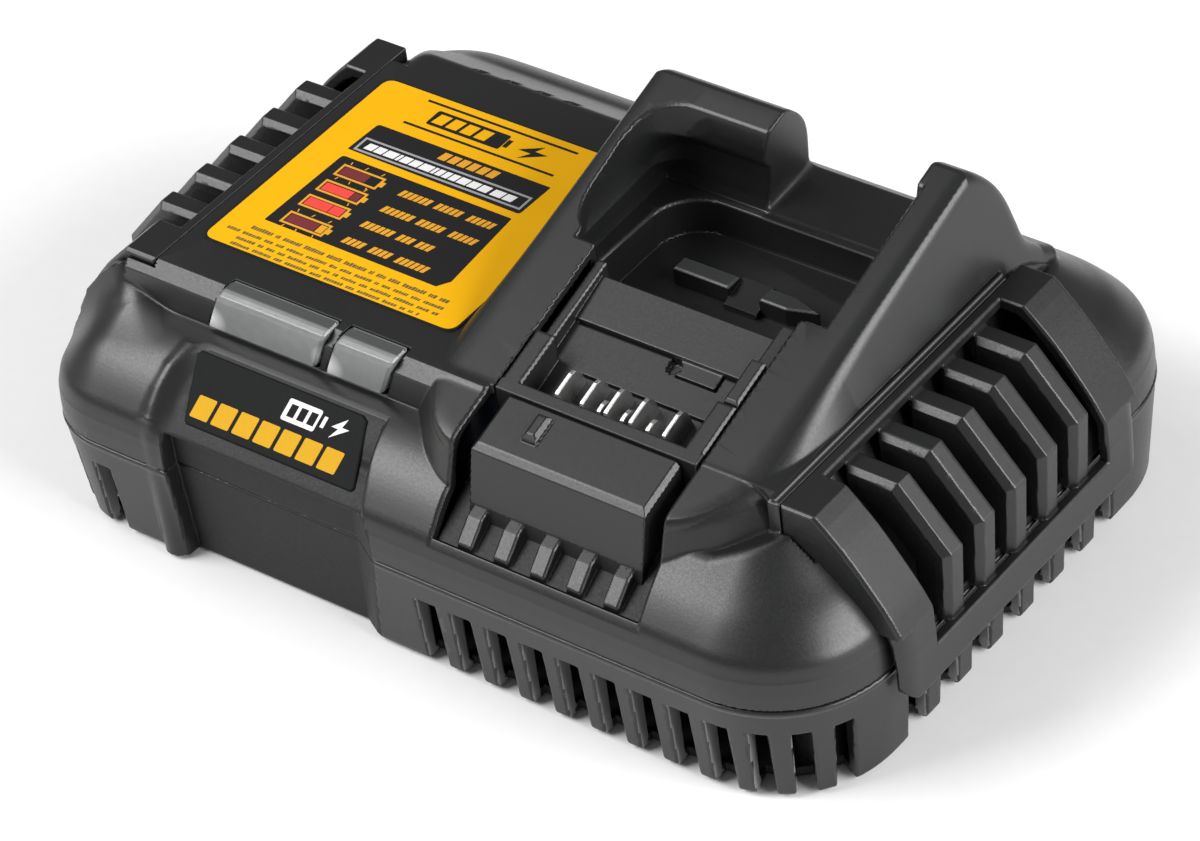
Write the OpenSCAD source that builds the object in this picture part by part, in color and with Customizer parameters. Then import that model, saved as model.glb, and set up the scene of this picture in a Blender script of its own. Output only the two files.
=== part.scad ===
// Slide-in battery charger with an inclined bay, side louvres and a cooling fan.
// Millimetres, +Z up, origin at the centre of the footprint on the table.
// +X runs along the front to the right, -Y is the front.

/* [Housing] */
// Half of the body's width, without the side covers
half_w = 91; // [86:0.5:94]
// Half of the body's depth
half_d = 63.3; // [60:0.5:66]
// Plan radius of the body's corners
corner_r = 24; // [14:1:28]
// Wall thickness of the shells
wall = 2.4; // [2:0.1:3]
// Height of the seam between lower and upper shell
seam_z = 22.6; // [20:0.2:25]
// Gap at the seam
seam_gap = 0.3; // [0.2:0.05:0.5]
// Height of the flat deck
deck_z = 52.9; // [51:0.1:54]

/* [Battery bay] */
// Middle of the bay along X
bay_x = 30.4; // [28:0.2:32]
// Half of the bay's outer width at its crests
bay_half = 34.6; // [32:0.1:36]
// Angle of the bay's rim plane
bay_angle = 17.3; // [14:0.1:19]
// Height of the rim plane above the table at Y = 0
bay_z0 = 65.65; // [64:0.05:67]
// Half of the width of the terminal opening
term_half = 22.6; // [21:0.1:24]
// Half of the width of the latch pocket
pocket_half = 27.8; // [26:0.1:29]

/* [Vents] */
// Pitch of the slots along the front of the lower shell
slot_pitch = 8.06; // [7.5:0.01:8.5]
// Width of a slot
slot_w = 4.6; // [3:0.1:5]
// Height of the top of the slots
slot_top = 16.4; // [12:0.2:18]
// Pitch of the louvre bars in the side covers
louvre_pitch = 10.15; // [9:0.05:11]
// Thickness of a louvre bar
louvre_t = 4.8; // [3:0.1:6]

/* [Wall mounting] */
// Distance between the two keyholes
keyhole_spacing = 102; // [90:1:110]
// Radius of a keyhole's entry
keyhole_r = 4.5; // [4:0.1:5]
// Half of the width of a keyhole's slot
keyhole_slot_r = 2.25; // [2:0.05:2.5]

/* [Fan] */
// Side of the square fan frame
fan_size = 36; // [34:1:38]
// Depth of the fan frame
fan_depth = 10; // [9:0.5:12]
// Number of fan blades
fan_blades = 7; // [5:1:9]
// Radius of the fan's shaft
shaft_r = 1.5; // [1.2:0.1:2]
// Radial running clearance of the shaft
shaft_clear = 0.03; // [0.02:0.01:0.06]

/* [Hidden] */
$fn = 48;

foot_h = 0.6;                          // underside of the lower shell
up_z = seam_z + seam_gap;              // bottom of the upper shell
tb = tan(bay_angle);
cover_x = 95;                          // outermost face of the side covers
cover_y0 = -42;                        // front end of the side covers
cover_y1 = 35;                         // back end of the side covers
fan_x = -66;                           // middle of the fan along X
fan_y = 4;
fan_z = 24;
board_z = 10;                          // underside of the circuit board
screw_xy = [[-78, -46], [78, -46], [-78, 46], [78, 46]];

charcoal = [0.2, 0.2, 0.2];
dark = [0.09, 0.09, 0.09];

// height of the rim plane at y
function rim(y) = bay_z0 + y * tb;

// points of a rounded rectangle, inset by d, n segments in a corner
function rr(w, d, r, n = 8) = [
    for (q = [[1, 1, 0], [-1, 1, 90], [-1, -1, 180], [1, -1, 270]])
        for (i = [0:n])
            [q[0] * (w - r) + r * cos(q[2] + 90 * i / n),
             q[1] * (d - r) + r * sin(q[2] + 90 * i / n)]];
function body_pts(inset, n = 8) =
    rr(half_w - inset, half_d - inset, max(3, corner_r - 0.6 * inset), n);

// closed loft through horizontal sections [z, points]
module loft(secs) {
    n = len(secs[0][1]);
    m = len(secs);
    pts = [for (s = secs) for (p = s[1]) [p[0], p[1], s[0]]];
    faces = concat(
        [[for (i = [0:n - 1]) i]],
        [[for (i = [0:n - 1]) (m - 1) * n + n - 1 - i]],
        [for (k = [0:m - 2]) for (i = [0:n - 1])
            [k * n + i, (k + 1) * n + i, (k + 1) * n + (i + 1) % n, k * n + (i + 1) % n]]);
    polyhedron(points = pts, faces = faces, convexity = 6);
}
// prism of a YZ outline between two X values
module yz(x0, x1, pts) {
    translate([x0, 0, 0]) rotate([90, 0, 90]) linear_extrude(x1 - x0) polygon(pts);
}
// prism of an XZ outline between two Y values
module xz(y0, y1, pts) {
    translate([0, y1, 0]) rotate([90, 0, 0]) linear_extrude(y1 - y0) polygon(pts);
}
// moves children into the bay's frame: x from the bay's middle, y along the
// slope (0 at the world's Y = 0), z square to the rim plane
module in_bay() {
    translate([bay_x, 0, bay_z0]) rotate([bay_angle, 0, 0]) children();
}
function slope_y(y) = y / cos(bay_angle);

// ---------------------------------------------------------------- housing
module lower_slots() {
    // front, right of the plain panel
    for (i = [0:8]) translate([1.5 + i * slot_pitch, -half_d - 1, -1])
        cube([slot_w, 4.4, slot_top + 1]);
    // front left corner and front right corner
    for (a = [[-78, -57.6, -35], [-71.2, -61.6, -12], [77.2, -59.4, 22], [82.6, -55.4, 42], [86.8, -50, 62]])
        translate([a[0], a[1], -1]) rotate(a[2]) translate([-slot_w / 2, -4, 0]) cube([slot_w, 7.2, slot_top + 1]);
    // both sides, under the side covers
    for (s = [-1, 1], i = [-3:3]) translate([s * (half_w - 1.2), i * 10.3 - 1, slot_top / 2 - 0.5])
        cube([4.4, slot_w + 1, slot_top + 1], center = true);
    // back
    for (i = [-8:8]) if (abs(i + 4.5) > 2) translate([i * slot_pitch - slot_w / 2, half_d - 3.4, -1])
        cube([slot_w, 4.4, slot_top + 1]);
}
module keyhole() {
    translate([0, 0, -1]) cylinder(r = keyhole_r, h = wall + 5);
    translate([-keyhole_slot_r, 0, -1]) cube([2 * keyhole_slot_r, 10, wall + 5]);
    translate([0, 10, -1]) cylinder(r = keyhole_slot_r, h = wall + 5);
}
panel_pts = [[-56.6, -70], [-56.6, -59.9], [-13.1, -59.9], [-7.5, -63.2], [-7.5, -70]];
module lower_shell() {
    color(charcoal) difference() {
        union() {
            difference() {
                union() {
                    translate([0, 0, foot_h]) linear_extrude(2) polygon(body_pts(1.4));
                    translate([0, 0, foot_h + 0.9]) linear_extrude(seam_z - foot_h - 0.9) polygon(body_pts(0.2));
                    // lip that centres the upper shell
                    translate([0, 0, seam_z - 4]) linear_extrude(7) polygon(body_pts(wall + 0.3));
                    // rounded pillar at the left end of the plain panel
                    translate([-59.6, -60.4, foot_h]) cylinder(r = 3.2, h = seam_z - foot_h);
                }
                // plain panel, set back
                translate([0, 0, -1]) linear_extrude(seam_z + 6) polygon(panel_pts);
                difference() {
                    translate([0, 0, foot_h + wall]) linear_extrude(40) polygon(body_pts(wall + 1.6));
                    translate([-59, -half_d, 0]) cube([52.6, 7.9, seam_z]);
                }
                // no lip behind the plain panel
                translate([-60.6, -half_d - 5, seam_z]) cube([56, 12, 6]);
            }
            // screw towers
            for (p = screw_xy) translate([p[0], p[1], foot_h + 0.4]) cylinder(r = 4.6, h = 17);
            // board posts
            for (p = [[-50, -34], [50, -34], [-50, 40], [50, 40]])
                translate([p[0], p[1], foot_h + 0.5]) cylinder(r = 3, h = board_z - foot_h - 0.5);
            // collars around the keyholes
            for (s = [-1, 1]) translate([s * keyhole_spacing / 2, 0, foot_h + 0.2])
                cylinder(r = 7, h = wall + 1.4);
            // seat of the cord inlet
            translate([-46, half_d - 8, 4]) cube([20, 6, 17]);
        }
        lower_slots();
        for (s = [-1, 1]) translate([s * keyhole_spacing / 2, 0, 0]) keyhole();
        for (p = screw_xy) translate([p[0], p[1], 0]) {
            translate([0, 0, -1]) cylinder(r = 2.1, h = 30);
            translate([0, 0, -1]) cylinder(r = 3.7, h = 5);
        }
        // pockets of the feet
        for (p = [[-68, -46], [68, -46], [-68, 46], [68, 46]])
            translate([p[0], p[1], -1]) cylinder(r = 5.1, h = 2.7);
        // passage of the cord inlet
        translate([-36, half_d + 2, 12.5]) rotate([90, 0, 0]) cylinder(r = 6.1, h = 14);
        translate([-36, half_d + 2, 12.5]) rotate([90, 0, 0]) cylinder(r = 7.4, h = 3.5);
    }
}

front_secs = [[0, 0], [6, 0.2], [9, 1], [11.4, 2.7], [14.8, 5.7], [18, 9.2], [19.4, 12], [20.2, 15], [20.9, 19.4]];
module body_loft(inset, dz) {
    loft([for (s = front_secs) [up_z + s[0] + (s[0] > 0 ? dz : 0), body_pts(s[1] + inset, 6)]]);
}
deck_yz = [[-43.95, 40], [-43.95, deck_z - 2.65], [-41.3, deck_z], [35.2, deck_z], [49.9, 41.9], [49.9, 38], [-43.95, 38]];
deck_in = [[-41.5, 34], [-41.5, deck_z - wall], [34.4, deck_z - wall], [47.7, 40.5], [47.7, 34]];
deck_x = 71;                           // half width of the deck between the covers
tower_yz = [[-61, 36], [-61, rim(-61)], [28.9, rim(28.9)], [32, rim(28.9) - 2], [35.8, 68.7],
            [38.1, 64.3], [40.3, 54.9], [43.8, 49.4], [44.6, 40], [44.6, 36]];
tower_in = [[-57, 34], [-57, rim(-57) - 2.6], [26.4, rim(26.4) - 2.6], [31.4, 67.9],
            [34, 62.3], [37.4, 53.4], [40.3, 44.5], [40.3, 34]];
// plan of the rounded nose
function nose_pts(r) = concat(
    [for (i = [0:8]) [bay_x - 21.1 - r * cos(90 * i / 8), -39.8 - r * sin(90 * i / 8)]],
    [for (i = [0:8]) [bay_x + 21.1 + r * sin(90 * i / 8), -39.8 - r * cos(90 * i / 8)]],
    [[bay_x + 21.1 + r, -30], [bay_x - 21.1 - r, -30]]);
// side walls that lean out towards the deck, from y0 to y1
module leaning_walls(y0, y1) {
    f = bay_half + 3.9;
    pts = [for (p = [[y0, 43], [y1, 51.5]]) each [
        [bay_x - f, p[0], 34], [bay_x + f, p[0], 34], [bay_x + f, p[0], p[1]],
        [bay_x + bay_half - 0.2, p[0], rim(p[0]) + 1], [bay_x - bay_half + 0.2, p[0], rim(p[0]) + 1],
        [bay_x - f, p[0], p[1]]]];
    polyhedron(points = pts, convexity = 4, faces = [
        [5, 4, 3, 2, 1, 0], [6, 7, 8, 9, 10, 11], [1, 7, 6, 0], [2, 8, 7, 1],
        [9, 8, 2], [3, 9, 2], [4, 10, 9, 3], [11, 10, 4], [5, 11, 4], [0, 6, 11, 5]]);
}
module tower_solid() {
    intersection() {
        yz(bay_x - 44, bay_x + 44, tower_yz);
        union() {
            loft([[36, nose_pts(20)], [49.2, nose_pts(13.4)], [90, nose_pts(13.4)]]);
            intersection() {
                leaning_walls(-39, 52);
                translate([0, 0, 30]) linear_extrude(70) polygon(concat(
                    [[bay_x - 39, -50], [bay_x + 39, -50]],
                    [for (i = [0:5]) [bay_x + 31 + 7 * cos(90 * i / 5), 38 + 7 * sin(90 * i / 5)]],
                    [for (i = [0:5]) [bay_x - 31 - 7 * sin(90 * i / 5), 38 + 7 * cos(90 * i / 5)]]));
            }
        }
    }
}
module badge_plane() { translate([0, -60, 33.6]) rotate([41.8, 0, 0]) children(); }
module upper_shell() {
    color(charcoal) difference() {
        union() {
            difference() {
                union() {
                    body_loft(0, 0);
                    difference() {
                        yz(-77.6, 77.6, deck_yz);
                        translate([deck_x, -60, 30]) cube([20, 130, 40]);
                        translate([-deck_x - 20, cover_y0 - 0.2, 30]) cube([20, 130, 40]);
                    }
                    tower_solid();
                    // rounded pillar that fades into the shoulder
                    translate([-59.6, -60.2, up_z]) cylinder(r = 3.2, h = 10);
                }
                translate([0, 0, -1]) body_loft(wall, 0.1);
                translate([0, 0, up_z - 1]) linear_extrude(4) polygon(body_pts(wall));
                yz(-deck_x + wall, deck_x - wall, deck_in);
                intersection() {
                    yz(bay_x - 31.9, bay_x + 31.9, tower_in);
                    translate([0, 0, 20]) linear_extrude(70) polygon(concat(
                        [for (i = [0:6]) [bay_x - 20.9 - 11 * cos(15 * i), -39.8 - 11 * sin(15 * i)]],
                        [for (i = [0:6]) [bay_x + 20.9 + 11 * sin(15 * i), -39.8 - 11 * cos(15 * i)]],
                        [[bay_x + 31.9, 45], [bay_x - 31.9, 45]]));
                }
            }
            // tub of the latch pocket
            intersection() {
                tower_solid();
                translate([bay_x - pocket_half - 2, -9.9, 42.1]) cube([2 * pocket_half + 4, 38, 40]);
            }
            // wall behind the plain panel and under the badge
            translate([-59, -60, up_z]) cube([52.6, 2.6, 9.5]);
            yz(-59, -6.4, [[-60.2, 33.4], [-49.2, 43.2], [-46.4, 41], [-57.4, 30.4], [-60.2, 30.4]]);
            // screw towers
            for (p = screw_xy) translate([p[0], p[1], 18.3]) cylinder(r = 4.2, h = 18.9);
            // frame under the terminal opening
            intersection() {
                in_bay() translate([-term_half - 3, slope_y(-43), -12]) cube([2 * term_half + 6, slope_y(34.7), 12]);
                tower_solid();
            }
        }
        // plain panel, set back up to the badge
        translate([0, 0, up_z - 2]) linear_extrude(33.6 - up_z + 2) polygon(panel_pts);
        badge_plane() linear_extrude(9) polygon([[-56.6, -8], [-56.6, 8], [-58.2, 14.6], [-11.5, 14.6], [-7.5, 0], [-7.5, -8]]);
        // seat of the badge
        badge_plane() translate([0, 0, -1.3]) linear_extrude(8) polygon([
            [-52.3, -0.3], [-12.9, -0.3], [-12.1, 0.8], [-15.1, 13.6], [-16.5, 14.4], [-55.1, 14.4], [-56.2, 13.4], [-53.2, 0.8]]);
        // terminal opening
        in_bay() translate([-term_half, slope_y(-40.7), -20]) cube([2 * term_half, slope_y(33.2), 30]);
        // latch pocket, its ledge and the deep part inside the ledge
        translate([bay_x - pocket_half, -7.6, 52.2]) cube([2 * pocket_half, 33.2, 40]);
        translate([0, 0, 44.5]) linear_extrude(40) polygon([[7.6, -7.7], [53.2, -7.7], [53.2, 17],
            [52, 21], [48.6, 23.6], [45, 24.4], [15.8, 24.4], [12.2, 23.6], [8.8, 21], [7.6, 17]]);
        // scoop in the back wall
        translate([25, 16, 55.4]) cube([33.3, 40, 40]);
        // front cut-out for the ramp and its shelf
        yz(7, 52.9, [[-61.1, 30.6], [-61.1, 32.6], [-68, 32.6], [-68, 90], [-40.2, 90], [-40.2, 30.6]]);
        // pilot holes
        for (p = screw_xy) translate([p[0], p[1], 17]) cylinder(r = 1.8, h = 14);
        // seats of the lenses
        xz(-47, -39.1, [[-57.7, 44.1], [-31.2, 44.1], [-27.4, 56], [-53.2, 56]]);
        xz(-47, -39.1, [[-29.5, 44.1], [-15.3, 44.1], [-11.2, 56], [-25.1, 56]]);
        // air openings under the side covers
        for (s = [-1, 1]) scale_x(s) xz(-30.4, 25.6,
            [[73.6, 60], [73.6, 38], [82, 32], [86.4, 24.2], [100, 24.2], [100, 60]]);
    }
}
module scale_x(s) { if (s < 0) mirror([1, 0, 0]) children(); else children(); }

// cover over the side: a folded plate with louvre bars
module side_cover() {
    outer = [[deck_x + 0.3, deck_z], [77.4, deck_z - 0.3], [80.4, 50.8], [84.7, 46.4], [89, 40.9], [92.4, 36.1],
             [94.6, 32.1], [cover_x, 26], [cover_x, 15.4]];
    plate = [[92.6, 15.4], [92.6, 26], [92.3, 31.3], [90.3, 34.8], [87, 39.4], [82.9, 44.7], [79, 48.6],
             [76.8, 50.2], [deck_x + 0.3, 50.4]];
    foot = [[91.4, 15.4], [91.4, 29.4], [90.5, 32.2], [88.7, 34.8], [85.7, 38.2], [82.2, 41.3], [79.4, 42.8],
            [75.5, 43.7], [deck_x + 0.3, 44.2]];
    color(charcoal) union() {
        difference() {
            union() {
                xz(cover_y0, cover_y1, concat(outer, plate));
                for (y = [cover_y0, cover_y1 - 2.4]) xz(y, y + 2.4, concat(outer, foot));
            }
            // opening behind the louvre bars
            translate([73.4, -31.4, 23.3]) cube([40, 55.6, 40]);
            // rounded front and back corners of the flange
            for (p = [[-1, cover_y0], [1, cover_y1]]) translate([90.8, p[1], 15]) rotate([p[0] * 30, 0, 0])
                cube([10, 12, 14], center = true);
        }
        // louvre bars, folded twice and standing a little proud of the plate
        for (i = [0:4]) xz(bar_y(i), bar_y(i) + louvre_t,
            [[deck_x + 0.4, 45], [deck_x + 0.4, 51.4], [73, 51.4], [74, 50.8], [84.2, 50.6], [94.5, 38.5],
             [93.8, 24], [94.2, 22.6], [92.8, 22.6], [90.6, 24.5], [89.4, 36.2], [80.8, 45]]);
    }
}
function bar_y(i) = -26.2 + i * louvre_pitch;
module side_cover_right() { side_cover(); }
module side_cover_left() { mirror([1, 0, 0]) side_cover(); }

module deck_label() {
    color([0.98, 0.71, 0.09]) translate([-38.3, -3.55, deck_z]) linear_extrude(0.3)
        polygon([for (q = [[1, 1, 0], [-1, 1, 90], [-1, -1, 180], [1, -1, 270]], i = [0:6])
            [q[0] * (29.7 - 3) + 3 * cos(q[2] + 15 * i), q[1] * (27.5 - 3) + 3 * sin(q[2] + 15 * i)]]);
}
module front_badge() {
    color(dark) badge_plane() translate([0, 0, -1.2]) linear_extrude(1.2) polygon([
        [-52.1, 0], [-13.2, 0], [-12.5, 0.9], [-15.4, 13.3], [-16.7, 14.1], [-54.9, 14.1], [-55.9, 13.2], [-52.9, 0.9]]);
}
module lens(x0, x1) {
    color([0.85, 0.86, 0.88]) difference() {
        intersection() {
            yz(x0 - 5, x1 + 10, [[-44.7, 44.4], [-44.7, 52], [-43.6, 53.2], [-40.2, 53.5], [-39.4, 52.9],
                                 [-39.4, 49], [-41.2, 46.6], [-41.2, 44.4]]);
            xz(-50, -36, [[x0, 44.4], [x1, 44.4], [x1 + 3.7, 56], [x0 + 4.4, 56]]);
        }
        translate([x0 + 5, -43.2, 40]) cube([x1 - x0 - 6.4, 3, 9.6]);
    }
}
module lens_large() { lens(-57.4, -31.5); }
module lens_small() { lens(-29.2, -15.6); }
module led_board() {
    color([0.1, 0.35, 0.2]) translate([-56, -38.8, 45.6]) cube([40, 9, 1.2]);
}
module status_leds() {
    color([0.9, 0.3, 0.2]) for (x = [-50, -43, -36, -21.5])
        translate([x, -38, 46.8]) cube([3.2, 2.6, 1.4]);
}

// ---------------------------------------------------------------- battery bay
module terminal_block() {
    color(dark) in_bay() difference() {
        union() {
            // floor behind the blades, set 5 below the rim
            translate([-term_half + 0.3, slope_y(-40.4), -9]) cube([2 * term_half - 0.6, slope_y(32.6), 4]);
            // front bar, flush with the rim
            translate([-term_half + 0.3, slope_y(-40.4), -9]) cube([2 * term_half - 0.6, 2.8, 9]);
            // side bars
            translate([-term_half + 0.3, slope_y(-40.4), -9]) cube([4.6, 15.4, 9]);
            translate([term_half - 4.9, slope_y(-40.4), -9]) cube([4.6, 13.4, 9]);
            translate([-term_half + 0.3, slope_y(-26), -9]) cube([2.6, 18.6, 9]);
            translate([term_half - 2.9, slope_y(-26), -9]) cube([2.6, 18.6, 9]);
            // back wall
            translate([-term_half + 0.3, slope_y(-9.9), -9]) cube([2 * term_half - 0.6, 2.1, 8]);
        }
        // slits that hold the blades
        for (u = concat(power_u, signal_u)) translate([u - 0.42, slope_y(-37.6), -10]) cube([0.84, 9, 6]);
    }
}
power_u = [-10.7, -5.2, 0.1, 5.6, 12.9];
signal_u = [-1.6, 3.6, 9.2];
module blade(u, l, h) {
    in_bay() translate([u - 0.4, slope_y(-37.4), -12]) rotate([90, 0, 90]) linear_extrude(0.8)
        polygon([[0, 0], [l, 0], [l, h - 2.6], [l - 1.6, h], [0.8, h], [0, h - 0.8]]);
}
module power_blades() {
    color([0.86, 0.87, 0.88]) for (u = power_u) blade(u, 8.2, 11.4);
}
module signal_blades() {
    color([0.86, 0.87, 0.88]) for (u = signal_u) blade(u, 5, 10.6);
}
module bay_ramp() {
    color(charcoal) difference() {
        union() {
            // ramp up to the terminals
            yz(bay_x - 19.1, bay_x + 19.1, [[-40.9, rim(-40.9)], [-51.4, rim(-51.4)], [-52.3, rim(-52.3) - 0.7],
                [-54.3, 40.4], [-54.3, 31], [-40.9, 31]]);
            // sloping shelf in front of it
            yz(7.3, 52.7, [[-53.4, 40.2], [-60.2, 33.4], [-60.8, 32.4], [-60.8, 30.9], [-43, 30.9], [-43, 40.2]]);
        }
        translate([bay_x - 16.6, -52, 20]) cube([33.2, 9, 26.4]);
        translate([10, -57, 20]) cube([40, 14, 13.2]);
    }
    // five short ribs on the shelf
    color(charcoal) for (i = [0:4])
        yz(12.3 + 8.1 * i, 15.3 + 8.1 * i, [[-60.5, 32], [-60.5, 33], [-57.9, 37.6], [-55, 40.4], [-53.8, 40.4], [-53.8, 36]]);
    // keying bump
    color(charcoal) in_bay() translate([-9, slope_y(-48.4), -0.8]) rotate([90, 0, 90])
        linear_extrude(3.4) polygon([[0, 0], [6.4, 0], [6.4, 1.4], [5.6, 2.2], [0.8, 2.2], [0, 1.2]]);
}
module latch_catches() {
    color(dark) {
        translate([12.1, 7.7, 44.6]) cube([12.6, 3.8, 3.8]);
        translate([24.6, 6.1, 44.6]) cube([7.1, 6.5, 1.8]);
        translate([31.6, 0, 44.6]) linear_extrude(3.8) polygon([[0, 7.5], [6.9, 7.5], [12.4, 9.1], [12.4, 9.8], [6.9, 11.5], [0, 11.5]]);
    }
}

// ---------------------------------------------------------------- inside
module circuit_board() {
    color([0.08, 0.33, 0.18]) difference() {
        translate([-56, -40, board_z]) cube([116, 86, 1.6]);
        for (p = [[-50, -34], [50, -34], [-50, 40], [50, 40]])
            translate([p[0], p[1], board_z - 1]) cylinder(r = 1.6, h = 4);
    }
}
module transformer() {
    color([0.75, 0.6, 0.2]) {
        translate([-8, -6, 11.7]) difference() {
            cube([34, 30, 20]);
            translate([6, -1, 4]) cube([22, 32, 12]);
        }
        translate([-1.9, -2, 15.8]) cube([21.8, 22, 11.8]);
    }
}
module filter_choke() {
    color([0.7, 0.35, 0.15]) translate([-40, 34, 20.4]) rotate([90, 0, 0]) rotate_extrude()
        translate([5.2, 0]) square([3.4, 8]);
}
module bulk_capacitors() {
    color([0.1, 0.12, 0.2]) for (p = [[-30, -20], [-14, -22]])
        translate([p[0], p[1], 11.7]) cylinder(r = 7.4, h = 24);
}
module heat_sink() {
    color([0.72, 0.73, 0.75]) {
        translate([34, -2, 11.7]) cube([3, 40, 22]);
        for (i = [0:5]) translate([36.9, 0 + i * 7, 11.7]) cube([12, 1.8, 20]);
    }
}
module power_transistors() {
    color([0.12, 0.12, 0.12]) for (y = [4, 20])
        translate([29.2, y, 14.7]) cube([4.7, 10.2, 15]);
}
module mains_fuse() {
    color([0.85, 0.85, 0.85]) translate([-46, 18, 14.5]) rotate([90, 0, 0]) cylinder(r = 2.6, h = 20);
}
module terminal_leads() {
    color([0.7, 0.12, 0.1]) for (u = [power_u[0], power_u[4]])
        translate([bay_x + u, -31.4, 11.7]) cylinder(r = 1.5, h = 28);
}
module fan_frame() {
    color(dark) translate([fan_x, fan_y, fan_z]) difference() {
        union() {
            difference() {
                cube([fan_depth, fan_size, fan_size], center = true);
                rotate([0, 90, 0]) cylinder(r = fan_size / 2 - 1.2, h = fan_depth + 2, center = true);
            }
            // hub cup and its three arms
            translate([-fan_depth / 2, 0, 0]) rotate([0, 90, 0]) cylinder(r = 6.5, h = 1.6);
            translate([-fan_depth / 2 + 0.8, 0, 0]) rotate([0, 90, 0]) cylinder(r = 2.9, h = 6.2);
            for (a = [30, 150, 270]) rotate([a, 0, 0]) translate([-fan_depth / 2 + 0.15, -1.1, 4]) cube([1.3, 2.2, fan_size / 2 - 4.5]);
        }
        translate([-fan_depth / 2 - 1, 0, 0]) rotate([0, 90, 0]) cylinder(r = shaft_r + shaft_clear, h = 20);
        for (y = [-1, 1], z = [-1, 1]) translate([-20, y * (fan_size / 2 - 2.6), z * (fan_size / 2 - 2.6)])
            rotate([0, 90, 0]) cylinder(r = 1.6, h = 40);
    }
}
module fan_rotor() {
    r1 = fan_size / 2 - 1.9;
    color([0.16, 0.16, 0.17]) translate([fan_x, fan_y, fan_z]) {
        // shaft
        translate([-fan_depth / 2 + 0.4, 0, 0]) rotate([0, 90, 0]) cylinder(r = shaft_r, h = 8.6);
        // hub, open towards the cup
        translate([fan_depth / 2 - 7.6, 0, 0]) rotate([0, 90, 0]) difference() {
            cylinder(r = 7.6, h = 7.2);
            translate([0, 0, -1]) cylinder(r = 6.1, h = 6.8);
        }
        // blades
        for (i = [0:fan_blades - 1]) rotate([i * 360 / fan_blades, 0, 0]) intersection() {
            translate([fan_depth / 2 - 4, 0, 7.2]) rotate([0, 0, 38]) translate([-4.6, -0.5, 0]) cube([9.2, 1, 12]);
            translate([fan_depth / 2 - 7.6, 0, 0]) rotate([0, 90, 0]) cylinder(r = r1, h = 7.2);
        }
    }
}
module fan_screws() {
    color([0.75, 0.75, 0.77]) for (y = [-1, 1], z = [-1, 1])
        translate([fan_x, fan_y + y * (fan_size / 2 - 2.6), fan_z + z * (fan_size / 2 - 2.6)]) {
            translate([-fan_depth / 2 - 1.6, 0, 0]) rotate([0, 90, 0]) cylinder(r = 2.5, h = 1.5);
            translate([-fan_depth / 2 - 0.2, 0, 0]) rotate([0, 90, 0]) cylinder(r = 1.5, h = fan_depth + 4);
        }
}
module case_screws() {
    color([0.7, 0.7, 0.72]) for (p = screw_xy) translate([p[0], p[1], 0]) difference() {
        union() {
            translate([0, 0, 1.7]) cylinder(r = 3.4, h = 2.25);
            translate([0, 0, 3]) cylinder(r = 1.75, h = 26);
        }
        translate([0, 0, 1]) cylinder(r = 1.7, h = 1.9, $fn = 6);
    }
}
module rubber_feet() {
    color([0.06, 0.06, 0.06]) for (p = [[-68, -46], [68, -46], [-68, 46], [68, 46]])
        translate([p[0], p[1], 0]) cylinder(r = 5, h = 1.6);
}
module cord_inlet() {
    color([0.07, 0.07, 0.07]) translate([-36, half_d, 12.5]) rotate([90, 0, 0]) difference() {
        union() {
            translate([0, 0, 0]) cylinder(r = 6, h = 10);
            translate([0, 0, -0.3]) cylinder(r = 7.2, h = 1.7);
            translate([0, 0, 8.2]) cylinder(r = 7.2, h = 2);
        }
        translate([0, 0, -4]) cylinder(r = 3.6, h = 18);
    }
}

lower_shell();
upper_shell();
side_cover_right();
side_cover_left();
deck_label();
front_badge();
lens_large();
lens_small();
led_board();
status_leds();
terminal_block();
power_blades();
signal_blades();
bay_ramp();
latch_catches();
circuit_board();
transformer();
filter_choke();
bulk_capacitors();
heat_sink();
power_transistors();
mains_fuse();
fan_frame();
fan_rotor();
fan_screws();
case_screws();
rubber_feet();
cord_inlet();
terminal_leads();
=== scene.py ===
import math
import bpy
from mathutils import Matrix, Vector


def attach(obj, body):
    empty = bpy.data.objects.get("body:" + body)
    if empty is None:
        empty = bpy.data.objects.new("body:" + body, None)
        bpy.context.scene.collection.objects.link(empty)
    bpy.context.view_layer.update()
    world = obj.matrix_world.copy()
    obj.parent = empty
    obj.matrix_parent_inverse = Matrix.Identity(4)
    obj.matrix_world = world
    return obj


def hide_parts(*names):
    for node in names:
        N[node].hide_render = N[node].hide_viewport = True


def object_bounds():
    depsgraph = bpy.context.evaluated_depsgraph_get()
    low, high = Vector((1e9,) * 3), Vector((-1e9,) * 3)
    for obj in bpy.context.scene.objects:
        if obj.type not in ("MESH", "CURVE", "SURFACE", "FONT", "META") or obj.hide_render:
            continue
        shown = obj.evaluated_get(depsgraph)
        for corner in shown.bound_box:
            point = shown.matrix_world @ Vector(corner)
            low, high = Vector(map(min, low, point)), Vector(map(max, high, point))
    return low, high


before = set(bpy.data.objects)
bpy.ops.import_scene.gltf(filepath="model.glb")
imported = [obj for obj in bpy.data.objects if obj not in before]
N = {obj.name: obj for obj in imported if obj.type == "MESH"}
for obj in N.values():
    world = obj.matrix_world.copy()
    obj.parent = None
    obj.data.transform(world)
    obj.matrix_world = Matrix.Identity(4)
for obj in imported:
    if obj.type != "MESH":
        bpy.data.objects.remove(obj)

from concurrent.futures import ThreadPoolExecutor

import bpy
import numpy as np
from mathutils import Matrix, Vector

CAD_BOX = [list(map(float, v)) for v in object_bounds()]
F4 = np.float32
rng = np.random.default_rng(7)

# ------------------------------------------------------------------ fields
# Every solid below is a signed distance in millimetres, negative inside.


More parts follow.
